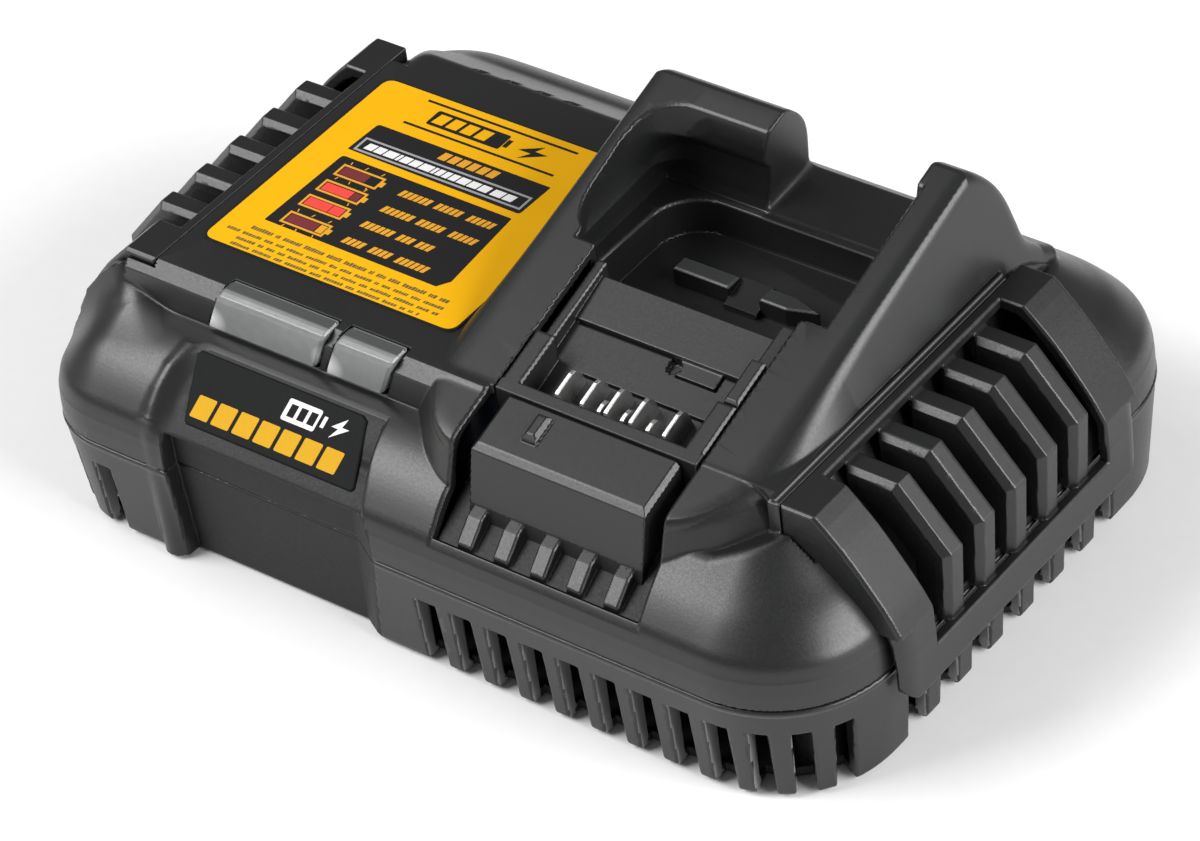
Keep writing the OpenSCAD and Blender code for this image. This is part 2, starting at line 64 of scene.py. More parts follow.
def box2(x, y, hx, hy, r=0.0):
    qx = np.abs(x) - hx + r
    qy = np.abs(y) - hy + r
    return np.minimum(np.maximum(qx, qy), 0) + np.hypot(np.maximum(qx, 0), np.maximum(qy, 0)) - r


def span(v, a, b):
    return np.maximum(a - v, v - b)


def smin(a, b, k):
    h = np.maximum(k - np.abs(a - b), 0) / k
    return np.minimum(a, b) - h * h * k * 0.25


def smax(a, b, k):
    return -smin(-a, -b, k)


def cham(a, b, c):
    return np.maximum(np.maximum(a, b), (a + b + c) * 0.70711)


def amax(*fs):
    out = fs[0]
    for f in fs[1:]:
        out = np.maximum(out, f)
    return out


def amin(*fs):
    out = fs[0]
    for f in fs[1:]:
        out = np.minimum(out, f)
    return out


def plane(u, v, u0, v0, u1, v1):
    """Distance from the line through two points; positive on its left."""
    L = math.hypot(u1 - u0, v1 - v0)
    return ((v - v0) * (u1 - u0) - (u - u0) * (v1 - v0)) / L


def smooth_line(pts, k=6):
    """Points of a Catmull-Rom curve through the given points."""
    p = np.array(pts, float)
    q = np.vstack([2 * p[0] - p[1], p, 2 * p[-1] - p[-2]])
    out = []
    for i in range(1, len(q) - 2):
        for j in range(k):
            t = j / k
            out.append(0.5 * ((2 * q[i]) + (-q[i - 1] + q[i + 1]) * t + (2 * q[i - 1] - 5 * q[i] + 4 * q[i + 1] - q[i + 2]) * t * t
                              + (-q[i - 1] + 3 * q[i] - 3 * q[i + 1] + q[i + 2]) * t ** 3))
    out.append(q[-2])
    return [tuple(v) for v in out]


class Profile:
    """Signed distance to a closed outline, looked up in a table."""

    def __init__(self, poly, pad=6.0, step=0.2):
        p = np.array(poly, float)
        self.lo = p.min(0) - pad
        n = np.ceil((p.max(0) + pad - self.lo) / step).astype(int) + 2
        X, Y = np.meshgrid(self.lo[0] + np.arange(n[0]) * step, self.lo[1] + np.arange(n[1]) * step, indexing="ij")
        d2 = np.full(X.shape, 1e9)
        inside = np.zeros(X.shape, bool)
        for a, b in zip(p, np.roll(p, -1, 0)):
            ab = b - a
            t = np.clip(((X - a[0]) * ab[0] + (Y - a[1]) * ab[1]) / max(ab @ ab, 1e-12), 0, 1)
            d2 = np.minimum(d2, (X - a[0] - t * ab[0]) ** 2 + (Y - a[1] - t * ab[1]) ** 2)
            if a[1] != b[1]:
                hit = ((a[1] > Y) != (b[1] > Y)) & (X < (b[0] - a[0]) * (Y - a[1]) / (b[1] - a[1]) + a[0])
                inside ^= hit
        self.T = (np.sqrt(d2) * np.where(inside, -1, 1)).astype(F4)
        self.step = step

    def __call__(self, u, v):
        u, v = np.broadcast_arrays(u, v)
        a = np.clip((u - self.lo[0]) / self.step, 0, self.T.shape[0] - 1.001).astype(F4)
        b = np.clip((v - self.lo[1]) / self.step, 0, self.T.shape[1] - 1.001).astype(F4)
        i = a.astype(np.int32)
        j = b.astype(np.int32)
        a = a - i
        b = b - j
        T = self.T
        return (T[i, j] * (1 - a) + T[i + 1, j] * a) * (1 - b) + (T[i, j + 1] * (1 - a) + T[i + 1, j + 1] * a) * b


# ------------------------------------------------------------------ mesher
POOL = ThreadPoolExecutor(4)


def field_at(f, P):
    """f on an (n,3) array of points, in parallel pieces."""
    if len(P) == 0:
        return np.zeros(0, F4)
    parts = np.array_split(P, max(4, len(P) // 120000))
    return np.concatenate(list(POOL.map(lambda q: np.asarray(f(q[:, 0], q[:, 1], q[:, 2]), F4), parts)))


TET = np.array([[1, 1, 1], [1, -1, -1], [-1, 1, -1], [-1, -1, 1]], F4)


def gradient(f, P, e):
    g = np.zeros_like(P)
    for t in TET:
        g += field_at(f, P + t * F4(e))[:, None] * t
    return g / F4(4 * e)


def surface(f, lo, hi, step):
    """Vertices (mm) and quads of f = 0 by surface nets, on the blocks near the surface only."""
    lo = np.array(lo, F4) - step * 1.5
    n = (np.ceil((np.array(hi) + step * 1.5 - lo) / step / 8).astype(int)) * 8
    nb = n // 8
    I = np.stack(np.meshgrid(*[np.arange(k) for k in nb], indexing="ij"), -1).reshape(-1, 3)
    C = (lo + (I * 8 + 3.5) * step).astype(F4)
    c = field_at(f, C)
    keep = np.abs(c) < 6.1 * step * 1.35 + 0.9
    F = np.repeat(np.repeat(np.repeat(np.where(c < 0, F4(-9), F4(9)).reshape(nb), 8, 0), 8, 1), 8, 2)
    loc = np.stack(np.meshgrid(*[np.arange(8)] * 3, indexing="ij"), -1).reshape(-1, 3)
    ids = I[keep]
    for part in np.array_split(ids, max(1, len(ids) // 2500)):
        G = (part[:, None, :] * 8 + loc[None]).reshape(-1, 3)
        v = field_at(f, (lo + G * F4(step)).astype(F4))
        F[G[:, 0], G[:, 1], G[:, 2]] = v
    F[0], F[-1], F[:, 0], F[:, -1], F[:, :, 0], F[:, :, -1] = 9, 9, 9, 9, 9, 9
    F[F == 0] = 1e-6
    S = F < 0
    nx, ny, nz = F.shape
    cnt = np.zeros((nx - 1, ny - 1, nz - 1), np.uint8)
    for dx in (0, 1):
        for dy in (0, 1):
            for dz in (0, 1):
                cnt += S[dx:nx - 1 + dx, dy:ny - 1 + dy, dz:nz - 1 + dz]
    act = (cnt > 0) & (cnt < 8)
    cell = np.argwhere(act)
    vid = np.full(act.shape, -1, np.int32)
    vid[act] = np.arange(len(cell), dtype=np.int32)
    acc = np.zeros((len(cell), 3), F4)
    num = np.zeros(len(cell), F4)
    cx, cy, cz = cell.T
    for axis in range(3):
        o1, o2 = [a for a in range(3) if a != axis]
        for s1 in (0, 1):
            for s2 in (0, 1):
                off = [0, 0, 0]
                off[o1], off[o2] = s1, s2
                a = F[cx + off[0], cy + off[1], cz + off[2]]
                off2 = list(off)
                off2[axis] = 1
                b = F[cx + off2[0], cy + off2[1], cz + off2[2]]
                m = (a < 0) != (b < 0)
                t = np.where(m, a / np.where(m, a - b, 1), 0)
                pos = np.zeros((len(cell), 3), F4)
                pos[:, o1], pos[:, o2], pos[:, axis] = s1, s2, t
                acc += pos * m[:, None]
                num += m
    V = (lo + (cell + acc / num[:, None]) * step).astype(F4)
    quads = []
    for axis in range(3):
        sl0, sl1 = [slice(1, -1)] * 3, [slice(1, -1)] * 3
        sl0[axis], sl1[axis] = slice(0, -1), slice(1, None)
        A, B = S[tuple(sl0)], S[tuple(sl1)]
        e = np.argwhere(A != B)
        base = e + 1
        base[:, axis] -= 1
        flip = A[e[:, 0], e[:, 1], e[:, 2]]
        o1, o2 = [(1, 2), (2, 0), (0, 1)][axis]
        q = []
        for d1, d2 in ((-1, -1), (0, -1), (0, 0), (-1, 0)):
            g = base.copy()
            g[:, o1] += d1
            g[:, o2] += d2
            q.append(vid[g[:, 0], g[:, 1], g[:, 2]])
        q = np.stack(q, 1)
        q[~flip] = q[~flip][:, ::-1]
        quads.append(q)
    Q = np.concatenate(quads)
    Q = Q[(Q >= 0).all(1)]
    return V, Q


def snap(f, V, step, rounds):
    P = V.copy()
    for _ in range(rounds):
        g = gradient(f, P, 0.12 * step)
        v = field_at(f, P)
        s = v / np.maximum((g * g).sum(1), 0.35)
        d = -g * s[:, None]
        L = np.linalg.norm(d, axis=1)
        d *= np.minimum(1, 0.45 * step / np.maximum(L, 1e-9))[:, None]
        P = P + d
    move = P - V
    L = np.linalg.norm(move, axis=1)
    move *= np.minimum(1, 0.8 * step / np.maximum(L, 1e-9))[:, None]
    return V + move


def new_mesh(name, V, faces):
    me = bpy.data.meshes.new(name)
    me.from_pydata([], [], [])
    V = np.asarray(V, F4)
    faces = np.asarray(faces, np.int32)
    k = faces.shape[1]
    me.vertices.add(len(V))
    me.vertices.foreach_set("co", V.ravel())
    me.loops.add(faces.size)
    me.loops.foreach_set("vertex_index", faces.ravel())
    me.polygons.add(len(faces))
    me.polygons.foreach_set("loop_start", np.arange(0, faces.size, k, dtype=np.int32))
    me.update(calc_edges=True)
    me.validate()
    ob = bpy.data.objects.new(name, me)
    bpy.context.scene.collection.objects.link(ob)
    return ob


def coords(ob):
    co = np.zeros(len(ob.data.vertices) * 3, F4)
    ob.data.vertices.foreach_get("co", co)
    return co.reshape(-1, 3)


def sculpt(name, f, lo, hi, step, limit=150000, rounds=2, nodes=(), mat=None, body="charger", dark=None):
    """A mesh of the solid f with smooth shading taken from the field itself."""
    V, Q = surface(f, lo, hi, step)
    V = snap(f, V, step, rounds)
    ob = new_mesh(name, V * F4(0.001), Q)
    tris = 2 * len(Q)
    if tris > limit:
        m = ob.modifiers.new("d", "DECIMATE")
        m.ratio = limit / tris
        dg = bpy.context.evaluated_depsgraph_get()
        me = bpy.data.meshes.new_from_object(ob.evaluated_get(dg))
        ob.modifiers.clear()
        old = ob.data
        ob.data = me
        bpy.data.meshes.remove(old)
    P = coords(ob) * F4(1000)
    g = gradient(f, P, 0.22 * min(step, 0.5))
    g /= np.maximum(np.linalg.norm(g, axis=1), 1e-6)[:, None]
    me = ob.data
    me.polygons.foreach_set("use_smooth", np.ones(len(me.polygons), bool))
    me.normals_split_custom_set_from_vertices(g.tolist())
    print("sculpt", name, len(Q), "quads ->", len(me.polygons), "faces")
    dress(ob, mat, nodes, body)
    # faces picked by the mask get painted shade (index 1) and painted light (index 2)
    if dark is not None:
        me.materials.append(PAINTED_SHADE)
        me.materials.append(PAINTED_LIGHT)
        c = np.zeros(len(me.polygons) * 3, F4)
        me.polygons.foreach_get("center", c)
        c = c.reshape(-1, 3) * F4(1000)
        me.polygons.foreach_set("material_index", dark(c[:, 0], c[:, 1], c[:, 2]).astype(np.int32))
        me.update()
    return ob


def dress(ob, mat, nodes=(), body="charger"):
    if mat is not None:
        ob.data.materials.clear()
        ob.data.materials.append(mat)
    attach(ob, body)
    if nodes:
        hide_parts(*nodes)
    return ob


# ------------------------------------------------------------------ materials
def node_mat(name):
    m = bpy.data.materials.new(name)
    m.use_nodes = True
    nt = m.node_tree
    b = nt.nodes["Principled BSDF"]
    return m, nt, b


def link(nt, a, b):
    nt.links.new(a, b)


def plastic(name, col, rough=(0.38, 0.5), grain=1.0, spec=0.5, wear_and_edge_highlight=0.35, bump=0.12, mott=0.12, metallic=0.0):
    """Moulded plastic: fine spark-eroded grain, slight mottling, and paler edges, which are a painted edge highlight
    with a little wear.
    """
    m, nt, b = node_mat(name)
    tc = nt.nodes.new("ShaderNodeTexCoord")
    big = nt.nodes.new("ShaderNodeTexNoise")
    big.inputs["Scale"].default_value = 34
    big.inputs["Detail"].default_value = 5
    link(nt, tc.outputs["Object"], big.inputs["Vector"])
    fine = nt.nodes.new("ShaderNodeTexNoise")
    fine.inputs["Scale"].default_value = 2300 * grain
    fine.inputs["Detail"].default_value = 3
    link(nt, tc.outputs["Object"], fine.inputs["Vector"])
    mix = nt.nodes.new("ShaderNodeMix")
    mix.data_type = "RGBA"
    lo = [c * (1 - mott) for c in col] + [1]
    hi = [min(1, c * (1 + mott)) for c in col] + [1]
    mix.inputs["A"].default_value = lo
    mix.inputs["B"].default_value = hi
    link(nt, big.outputs["Fac"], mix.inputs["Factor"])
    # paler colour on sharp edges, driven by pointiness: painted edge highlight, with a little wear
    geo = nt.nodes.new("ShaderNodeNewGeometry")
    ramp = nt.nodes.new("ShaderNodeValToRGB")
    ramp.color_ramp.elements[0].position = 0.53
    ramp.color_ramp.elements[0].color = (0, 0, 0, 1)
    ramp.color_ramp.elements[1].position = 0.72
    ramp.color_ramp.elements[1].color = (wear_and_edge_highlight, wear_and_edge_highlight, wear_and_edge_highlight, 1)
    link(nt, geo.outputs["Pointiness"], ramp.inputs["Fac"])
    worn_and_highlit = nt.nodes.new("ShaderNodeMix")
    worn_and_highlit.data_type = "RGBA"
    worn_and_highlit.inputs["B"].default_value = [min(1, c * 2.2 + 0.02) for c in col] + [1]
    link(nt, ramp.outputs["Color"], worn_and_highlit.inputs["Factor"])
    link(nt, mix.outputs["Result"], worn_and_highlit.inputs["A"])
    link(nt, worn_and_highlit.outputs["Result"], b.inputs["Base Color"])
    rr = nt.nodes.new("ShaderNodeMapRange")
    rr.inputs["To Min"].default_value = rough[0]
    rr.inputs["To Max"].default_value = rough[1]
    rr.inputs["From Min"].default_value = 0.3
    rr.inputs["From Max"].default_value = 0.7
    link(nt, fine.outputs["Fac"], rr.inputs["Value"])
    link(nt, rr.outputs["Result"], b.inputs["Roughness"])
    bp = nt.nodes.new("ShaderNodeBump")
    bp.inputs["Strength"].default_value = bump
    bp.inputs["Distance"].default_value = 0.0001
    link(nt, fine.outputs["Fac"], bp.inputs["Height"])
    link(nt, bp.outputs["Normal"], b.inputs["Normal"])
    b.inputs["Metallic"].default_value = metallic
    b.inputs["Specular IOR Level"].default_value = spec
    return m


HOUSING = plastic("housing_plastic", (0.0105, 0.0111, 0.0108), rough=(0.30, 0.40), spec=0.5, wear_and_edge_highlight=0.25, bump=0.10)
# paler than the housing so the catches read inside the dark pocket: painted light
CATCH_PAINTED_LIGHT = plastic("catch_painted_light_plastic", (0.035, 0.036, 0.036), rough=(0.34, 0.46), wear_and_edge_highlight=0.3, bump=0.10)
BLACK = plastic("black_plastic", (0.014, 0.0145, 0.0145), rough=(0.40, 0.52), wear_and_edge_highlight=0.25, bump=0.10)
# darker copy of the housing plastic for faces in cavities, recesses and under the covers: painted shade
PAINTED_SHADE = plastic("painted_shade_plastic", (0.006, 0.006, 0.006), rough=(0.5, 0.6), spec=0.32, wear_and_edge_highlight=0.2, bump=0.10)
# much paler copy of the housing plastic for the lit strips of the slot walls: painted light
PAINTED_LIGHT = plastic("rib_painted_light", (0.15, 0.152, 0.152), rough=(0.30, 0.40), spec=0.6, wear_and_edge_highlight=0.3, bump=0.10)

# ------------------------------------------------------------------ shared shapes
TB = 0.3115
CB = 0.95477


def old(x, y, z):
    """Frame in which the upper structure was measured."""
    return (x - 3.78) / 0.99216, (y + 4.31) / 0.99216, (z - 4.78) / 0.99216


def plan(x, y):
    left = (x < -40) & (y < 0)
    r = np.where(left, 16.0, 24.0).astype(F4)
    k = np.where(left, 20.0, 26.0).astype(F4)
    a = box2(x, y, 91.0, 63.3, r)
    b = smax(np.abs(x) - 91.0, np.abs(y) - 63.3, k)
    return 0.62 * a + 0.38 * b


SHOULDER = Profile([(-0.1, 22.9), (-0.05, 26.0), (0.15, 28.9)] + smooth_line([(0.2, 29.0), (1.0, 31.9), (2.7, 34.3), (5.7, 37.7), (9.2, 40.9), (12.6, 44.1), (16.1, 47.4), (22.2, 53.0), (30, 60)], 5)
                   + [(60, 60), (60, 22.9)], pad=8)
LEFT_END = Profile([(70, 52.0), (77.4, 52.0), (79.4, 50.6), (83.6, 46.2), (87.6, 40.9), (88, 30), (70, 30)], pad=8)
BACK_T = Profile([(-90, 20), (-90, 60 - 90 * TB + 12), (-90, 60 - 90 * TB)]
                 + smooth_line([(33.5, 70.43), (36.6, 68.4), (40.4, 64.4), (42.7, 60), (44.1, 54.5), (44.9, 50.9), (46.3, 48.2), (49.3, 45.0)], 4)
                 + [(53, 42.5), (53, 20)], pad=8)
S_Y = np.array([-70, -44, -38, -33, -28, -20, -10, 0, 15, 30, 48], float)
S_V = np.array([0.36, 0.36, 0.60, 1.0, 0.95, 0.72, 0.46, 0.34, 0.25, 0.19, 0.17], float)


def tower(x, y, z, chamfer=0.75):
    xo, yo, zo = old(x, y, z)
    u = xo - 26.8
    dz = 60 + TB * yo - zo
    h = -dz * CB
    s = np.interp(yo, S_Y, S_V).astype(F4)
    pn = box2(u, yo - 50.8, 34.9, 100.0, np.where(u > 0, 18.0, 13.6).astype(F4))
    d0 = np.interp(yo, [-70, -49, -44, -38], [3.2, 3.0, 1.6, 0.0]).astype(F4)
    side = (pn - s * np.maximum(0, dz - d0)) / np.sqrt(1 + s * s)
    back = BACK_T(yo, zo)
    f = smax(side, back, 3.0)
    f = cham(f, h, chamfer)
    return f * 0.992


def deck(x, y, z):
    top = z - 52.9
    front = -y - 43.95
    slope = 0.599 * (y - 35.2) + 0.801 * (z - 52.9)
    f = np.where(x > 10, np.where(x > 68.5, cham(-y - 42.1, top, 0.5), np.maximum(-y - 39.6, top)), cham(front, top, 2.65)).astype(F4)
    f = smax(f, slope, 0.8)
    f = amax(f, amin(np.abs(x) - 71.05, smax(amax(-x - 77.5, x), y + 42.2, 0.1)))
    return np.where(y > 30, smax(f, SHOULDER(-plan(x, y), z), 1.5), f).astype(F4)


def badge_frame(x, y, z):
    """x, distance up the badge's slope, height above its plane"""
    c, s = math.cos(math.radians(41.8)), math.sin(math.radians(41.8))
    dy, dz = y + 60.0, z - 33.6
    return x, dy * c + dz * s, -dy * s + dz * c


def body_top(x, y, z):
    p = plan(x, y)
    ax = np.abs(x)
    k = np.where(x < 0, 5.0, np.interp(ax, [34, 58], [5.0, 1.0])).astype(F4)
    a = SHOULDER(-p, z)
    b = z - (43.6 + np.where(x < 0, 0.0, 0.33) * np.maximum(0, ax - 62))
    h = np.maximum(k - np.abs(a - b), 0) / k
    return np.maximum(a, b) + h * h * k * 0.25


def panel_region(x, y):
    """Negative where the plain front panel is set back."""
    return amax(-x - 56.6, plane(x, y, -13.1, -59.9, -7.5, -63.2), y + 50)


def panel_cut(x, y, z):
    left = -x - 56.5
    right = plane(x, y, -13.1, -59.9, -7.2, -63.4)
    deep = y + 59.9
    low = amax(left, right, deep)
    xs, s, n = badge_frame(x, y, z)
    wall = (-58.6 + 0.1 * s + 1.2 * (1.2 - n) - x) * 0.64
    up = amax(smax(wall, -n - 0.35, 1.6), x + 9.8 + 0.16 * s, s - 14.7, -s - 8)
    return amax(low, z - 31.0), up


def cover_room(x, y, z):
    return amax(71.05 - np.abs(x), span(y, -42.15, 35.1), 43.0 - z)


def upper_outer(x, y, z):
    b = body_top(x, y, z)
    room = cover_room(x, y, z)
    # left end of the deck's front runs out softly into the shoulder
    end = amax(LEFT_END(-x, z), span(y, -43.9, -41.0))
    end = smax(end, (x + 76.0) * 0.94 + (z - 50) * 0.34, 6.0)
    b = np.where(x < -56, smin(b, end, 9.0), b).astype(F4)
    f = smin(b, deck(x, y, z), 0.5)
    f = amax(f, -room)
    bead = amax(np.hypot(x - 69.7, z - 52.85) - 0.5, span(y, -41.6, 30.5))
    f = amin(f, bead)
    t = tower(x, y, z)
    f = smin(f, t, 0.35)
    # rounded pillar at the left of the panel, running out up the shoulder
    cap = np.hypot(x + 59.6, y + 60.2 - 0.45 * np.maximum(z - 29.5, 0)) - 3.05
    f = smin(f, amax(cap, 22.9 - z, z - 33), 0.7)
    xs, s, n = badge_frame(x, y, z)
    r = np.interp(s, [-2, 13], [2.9, 1.6]).astype(F4)
    c = np.interp(s, [-6, -2.55, 1, 4.5, 9.3, 15], [-1.3, 0, 0.9, 1.45, 1.5, -0.7]).astype(F4) - r + 0.5 * (1 - s / 12.5)
    ridge = np.hypot(x + 59.9 - 0.1 * s, n - c) - r
    return smin(f, amax(ridge, -1.5 - s, s - 14), 1.4)


POCKET_YZ = Profile([(-3.3, 80), (-3.3, 48.6), (28.5, 47.8), (30.3, 47.6), (31.0, 50.0), (31.2, 54.5), (30.6, 58.4), (28.6, 60.8), (26.9, 62.6), (28.9, 69.0), (29.3, 80)], pad=8)
SCOOP_YZ = Profile([(10, 82), (10, 48.3), (28.5, 47.8)] + smooth_line([(30.3, 47.7), (33.0, 47.9), (37.0, 48.3), (41.4, 48.6), (50, 48.5)], 4) + [(52, 82)], pad=8)


def well(u, yo, zo):
    return box2(u + 1.9, yo - 8.4, 25.7, 20.1, 9.5) + 0.03 * (zo - 48)


def upper(x, y, z):
    f0 = upper_outer(x, y, z)
    xo, yo, zo = old(x, y, z)
    u = xo - 26.8
    h = -(60 + TB * yo - zo) * CB
    # hollow, left solid round the pocket
    hollow = f0 + 2.4
    solid = amax(np.abs(u) - 34.2, -9.4 - y, 42.2 - z)
    hollow = amax(hollow, -solid)
    hollow = amax(hollow, -amax(span(x, -59, -6.4), y + 57.4, 22.9 - z))
    xs, s, n = badge_frame(x, y, z)
    hollow = amax(hollow, -amax(span(x, -61, -6.4), s - 15, n + 0.2, -n - 4.0))
    f = amax(f0, -hollow)
    # recessed panel and the badge's seat
    low, up = panel_cut(x, y, z)
    f = amax(f, -low)
    f = smax(f, -up, 1.1)
    # latch pocket
    corner = np.interp(zo, [49, 54], [0.3, 11.0]).astype(F4)
    pk = amax(u - 28.1, smax(-u - 30.7 - 0.05 * np.maximum(0, yo + 3.3), POCKET_YZ(yo, zo), corner))
    f = cham(f, -pk, 0.35)
    deep = amax(well(u, yo, zo), 40.0 - zo, -3.3 - yo)
    f = cham(f, -deep, 0.5)
    # scoop between the horns
    sl = np.maximum(0, 70 - zo) * 0.2
    sc = amax(-(xo - (21.4 - sl)), xo - 54.95 + 0.06 * np.maximum(0, 70 - zo) * 0, SCOOP_YZ(yo, zo))
    sc = smax(SCOOP_YZ(yo, zo), np.maximum(21.4 - sl - xo, xo - 53.6), 2.4)
    f = smax(f, -sc, 0.7)
    # terminal opening and the slot in front of it
    to = amax(np.abs(u) - 22.8, span(yo, -36.7, -3.2), -14 - h)
    f = amax(f, -to)
    # front recess for the ramp
    rec = amax(np.abs(x - 29.9) - 22.9, y + 40.4)
    fl = plane(y, z, -61.4, 32.9, -53.4, 40.6)
    rec = amax(rec, -fl)
    rec_low = amax(np.abs(x - 29.9) - 22.9, span(y, -61.1, -40.4), 30.6 - z)
    f = cham(f, -rec, 0.5)
    f = amax(f, -rec_low)
    # vents along the top of the back slope
    for cx in (-53.6, -45.8, -38.2, -31.4):
        f = amax(f, -amax(np.abs(x - cx) - 1.5, np.abs(y - 35.9) - 0.9, 51.4 - z))
    # seats of the lenses
    for x0, x1, x2, x3 in ((-57.7, -31.2, -53.5, -27.9), (-29.5, -15.3, -25.6, -11.6)):
        t = (z - 44.1) / 9.4
        seat = amax(-(x - (x0 + (x2 - x0) * t)), x - (x1 + (x3 - x1) * t), span(y, -46, -39.1), 44.1 - z)
        f = amax(f, -seat)
    # air openings under the covers
    air = amax(73.9 - np.abs(x), span(y, -30.0, 22.8), -plane(np.abs(x), z, 73.6, 38, 86.4, 24.2), 24.2 - z)
    f = amax(f, -air)
    return f


def upper_painted_shade(x, y, z):
    """Painted shade: cavity walls, the recessed front panel, the walls of the latch well, and the surface under the
    covers that only shows through the louvres.
    """
    f0 = upper_outer(x, y, z)
    xs, s, n = badge_frame(x, y, z)
    low, up = panel_cut(x, y, z)
    pan = (np.minimum(low, up) < 0.35) & (y < -48)
    xo, yo, zo = old(x, y, z)
    wall = (np.abs(well(xo - 26.8, yo, zo)) < 0.3) & (z < 51.9) & (z > 44.9) & (yo > -3)
    a = ((f0 < -1.9) & (f0 > -3.0) & (z < 41)) | pan | wall
    b = (COVER_IN(np.abs(x), z) < 0.6) & (np.abs(x) > 72.2) & (y > -39.4) & (y < 33)
    return a | b


def lower_painted_shade_light(x, y, z):
    # painted shade (1) inside the cavity and in the front panel recess; painted light (2) on strips of the slot walls
    p = plan(x, y)
    out = np.where((p < -3.85) & (z > 1.2), 1, 0)
    pc = amax(-x - 56.5, plane(x, y, -13.1, -59.9, -7.2, -63.4), y + 59.9 - 0.06 * (22.6 - z))
    out = np.where((pc < 0.35) & (z < 22.9), 1, out)
    i = np.clip(np.round((x - 3.7) / 8.06), 0, 8)
    lit = (np.abs(x - 3.7 - 8.06 * i + 2.2) < 0.15) & (y < -58.0)
    for cx, cy, a, w in CORNER_SLOTS:
        c, s = math.cos(math.radians(a)), math.sin(math.radians(a))
        du = (x - cx) * c + (y - cy) * s
        dv = -(x - cx) * s + (y - cy) * c
        lit |= (np.abs(du + w) < 0.15) & (np.abs(dv) < 6.0)
    j = np.clip(np.round((y + 32.0) / 10.24), 0, 6)
    lit |= (np.abs(y + 32.0 - 10.24 * j - 2.7) < 0.15) & (x > 86)
    return np.where(lit & (p > -3.9) & (z < 16.3), 2, out)


# -------- lower shell
LOW = Profile([(3.4, 0.6), (2.2, 0.75), (1.75, 1.4), (0.0, 21.2), (-0.22, 21.8), (-0.25, 22.2), (0.05, 22.6), (60, 22.6), (60, 0.6)], pad=8)
CORNER_SLOTS = ((-81.6, -57.6, -40, 1.9), (-74.2, -61.6, -10, 2.0), (75.9, -60.6, 16, 1.7), (82.6, -56.8, 40, 1.7), (87.4, -50.6, 62, 1.7))


def slots(x, y, z):
    f = np.full(np.broadcast(x, y, z).shape, 50.0, F4)
    i = np.clip(np.round((x - 3.7) / 8.06), 0, 8)
    q = amax(np.abs(x - 3.7 - 8.06 * i) - 2.2, y + 58.2)
    f = np.minimum(f, q)
    for cx, cy, a, w in CORNER_SLOTS:
        c, s = math.cos(math.radians(a)), math.sin(math.radians(a))
        du = (x - cx) * c + (y - cy) * s
        dv = -(x - cx) * s + (y - cy) * c
        f = np.minimum(f, amax(np.abs(du) - w, np.abs(dv) - 6.0))
    j = np.clip(np.round((y + 32.0) / 10.24), 0, 6)
    q = amax(np.abs(y + 32.0 - 10.24 * j) - 2.7, 86.0 - np.abs(x))
    f = np.minimum(f, q)
    k = np.clip(np.round(x / 8.06), -8, 8)
    k = np.where((k + 4.5 < 2) & (k + 4.5 > -2), 50, k)
    q = amax(np.abs(x - 8.06 * k) - 2.2, 58.2 - y)
    f = np.minimum(f, q)
    return f


def lower(x, y, z):
    p = plan(x, y)
    f = LOW(-p, z)
    pil = np.hypot(x + 59.6, y + 60.2) - 3.05
    f = amax(smin(f, amax(pil, 0.8 - z, z - 22.6), 0.8), -63.59 - y)
    f0 = f
    pc = amax(-x - 56.5, plane(x, y, -13.1, -59.9, -7.2, -63.4), y + 59.9 - 0.06 * (22.6 - z))
    f = cham(f, -pc, 0.4)
    # slots, open at the bottom, and cavity
    sl = amax(slots(x, y, z), z - 16.4)
    f = cham(f, -sl, 0.45)
    cav = amax(p + 4.0, 3.0 - z)
    cav = amax(cav, -amax(span(x, -59, -6.4), y + 55.4))
    # keep a floor ring behind the slots
    for sx in (-1, 1):
        for sy in (-1, 1):
            cav = amax(cav, -(np.hypot(x - 78 * sx, y - 46 * sy) - 4.6))
            cav = amax(cav, -(np.hypot(x - 50 * sx, y - (40 if sy > 0 else -34)) - 3.0 + 99 * (z > 10)))
    f = amax(f, -cav)
    lip = amax(p + 2.7, -(p + 4.0), span(z, 18.6, 25.6), -amax(span(x, -60.6, -4.6), y + 51.3))
    f = np.minimum(f, lip)
    # underside
    for sx in (-1, 1):
        kx = x - 51 * sx
        key = amin(np.hypot(kx, y) - 4.5, amax(np.abs(kx) - 2.25, span(y, 0, 10)), np.hypot(kx, y - 10) - 2.25)
        f = cham(f, -amax(key, z - 4.6), 0.3)
        for sy in (-1, 1):
            d = np.hypot(x - 78 * sx, y - 46 * sy)
            f = cham(f, -amax(d - 3.7, z - 4.0), 0.3)
            f = amax(f, -(d - 2.1))
            d = np.hypot(x - 68 * sx, y - 46 * sy)
            f = amax(f, -amax(d - 5.1, z - 1.7))
    inl = np.hypot(x + 36, z - 12.5)
    seat = amax(span(x, -46, -26), span(z, 4, 21), span(y, 55.3, 61.3))
    f = np.minimum(f, seat)
    f = amax(f, -amax(inl - 6.1, 50 - y), -amax(inl - 7.4, 61.8 - y))
    return f


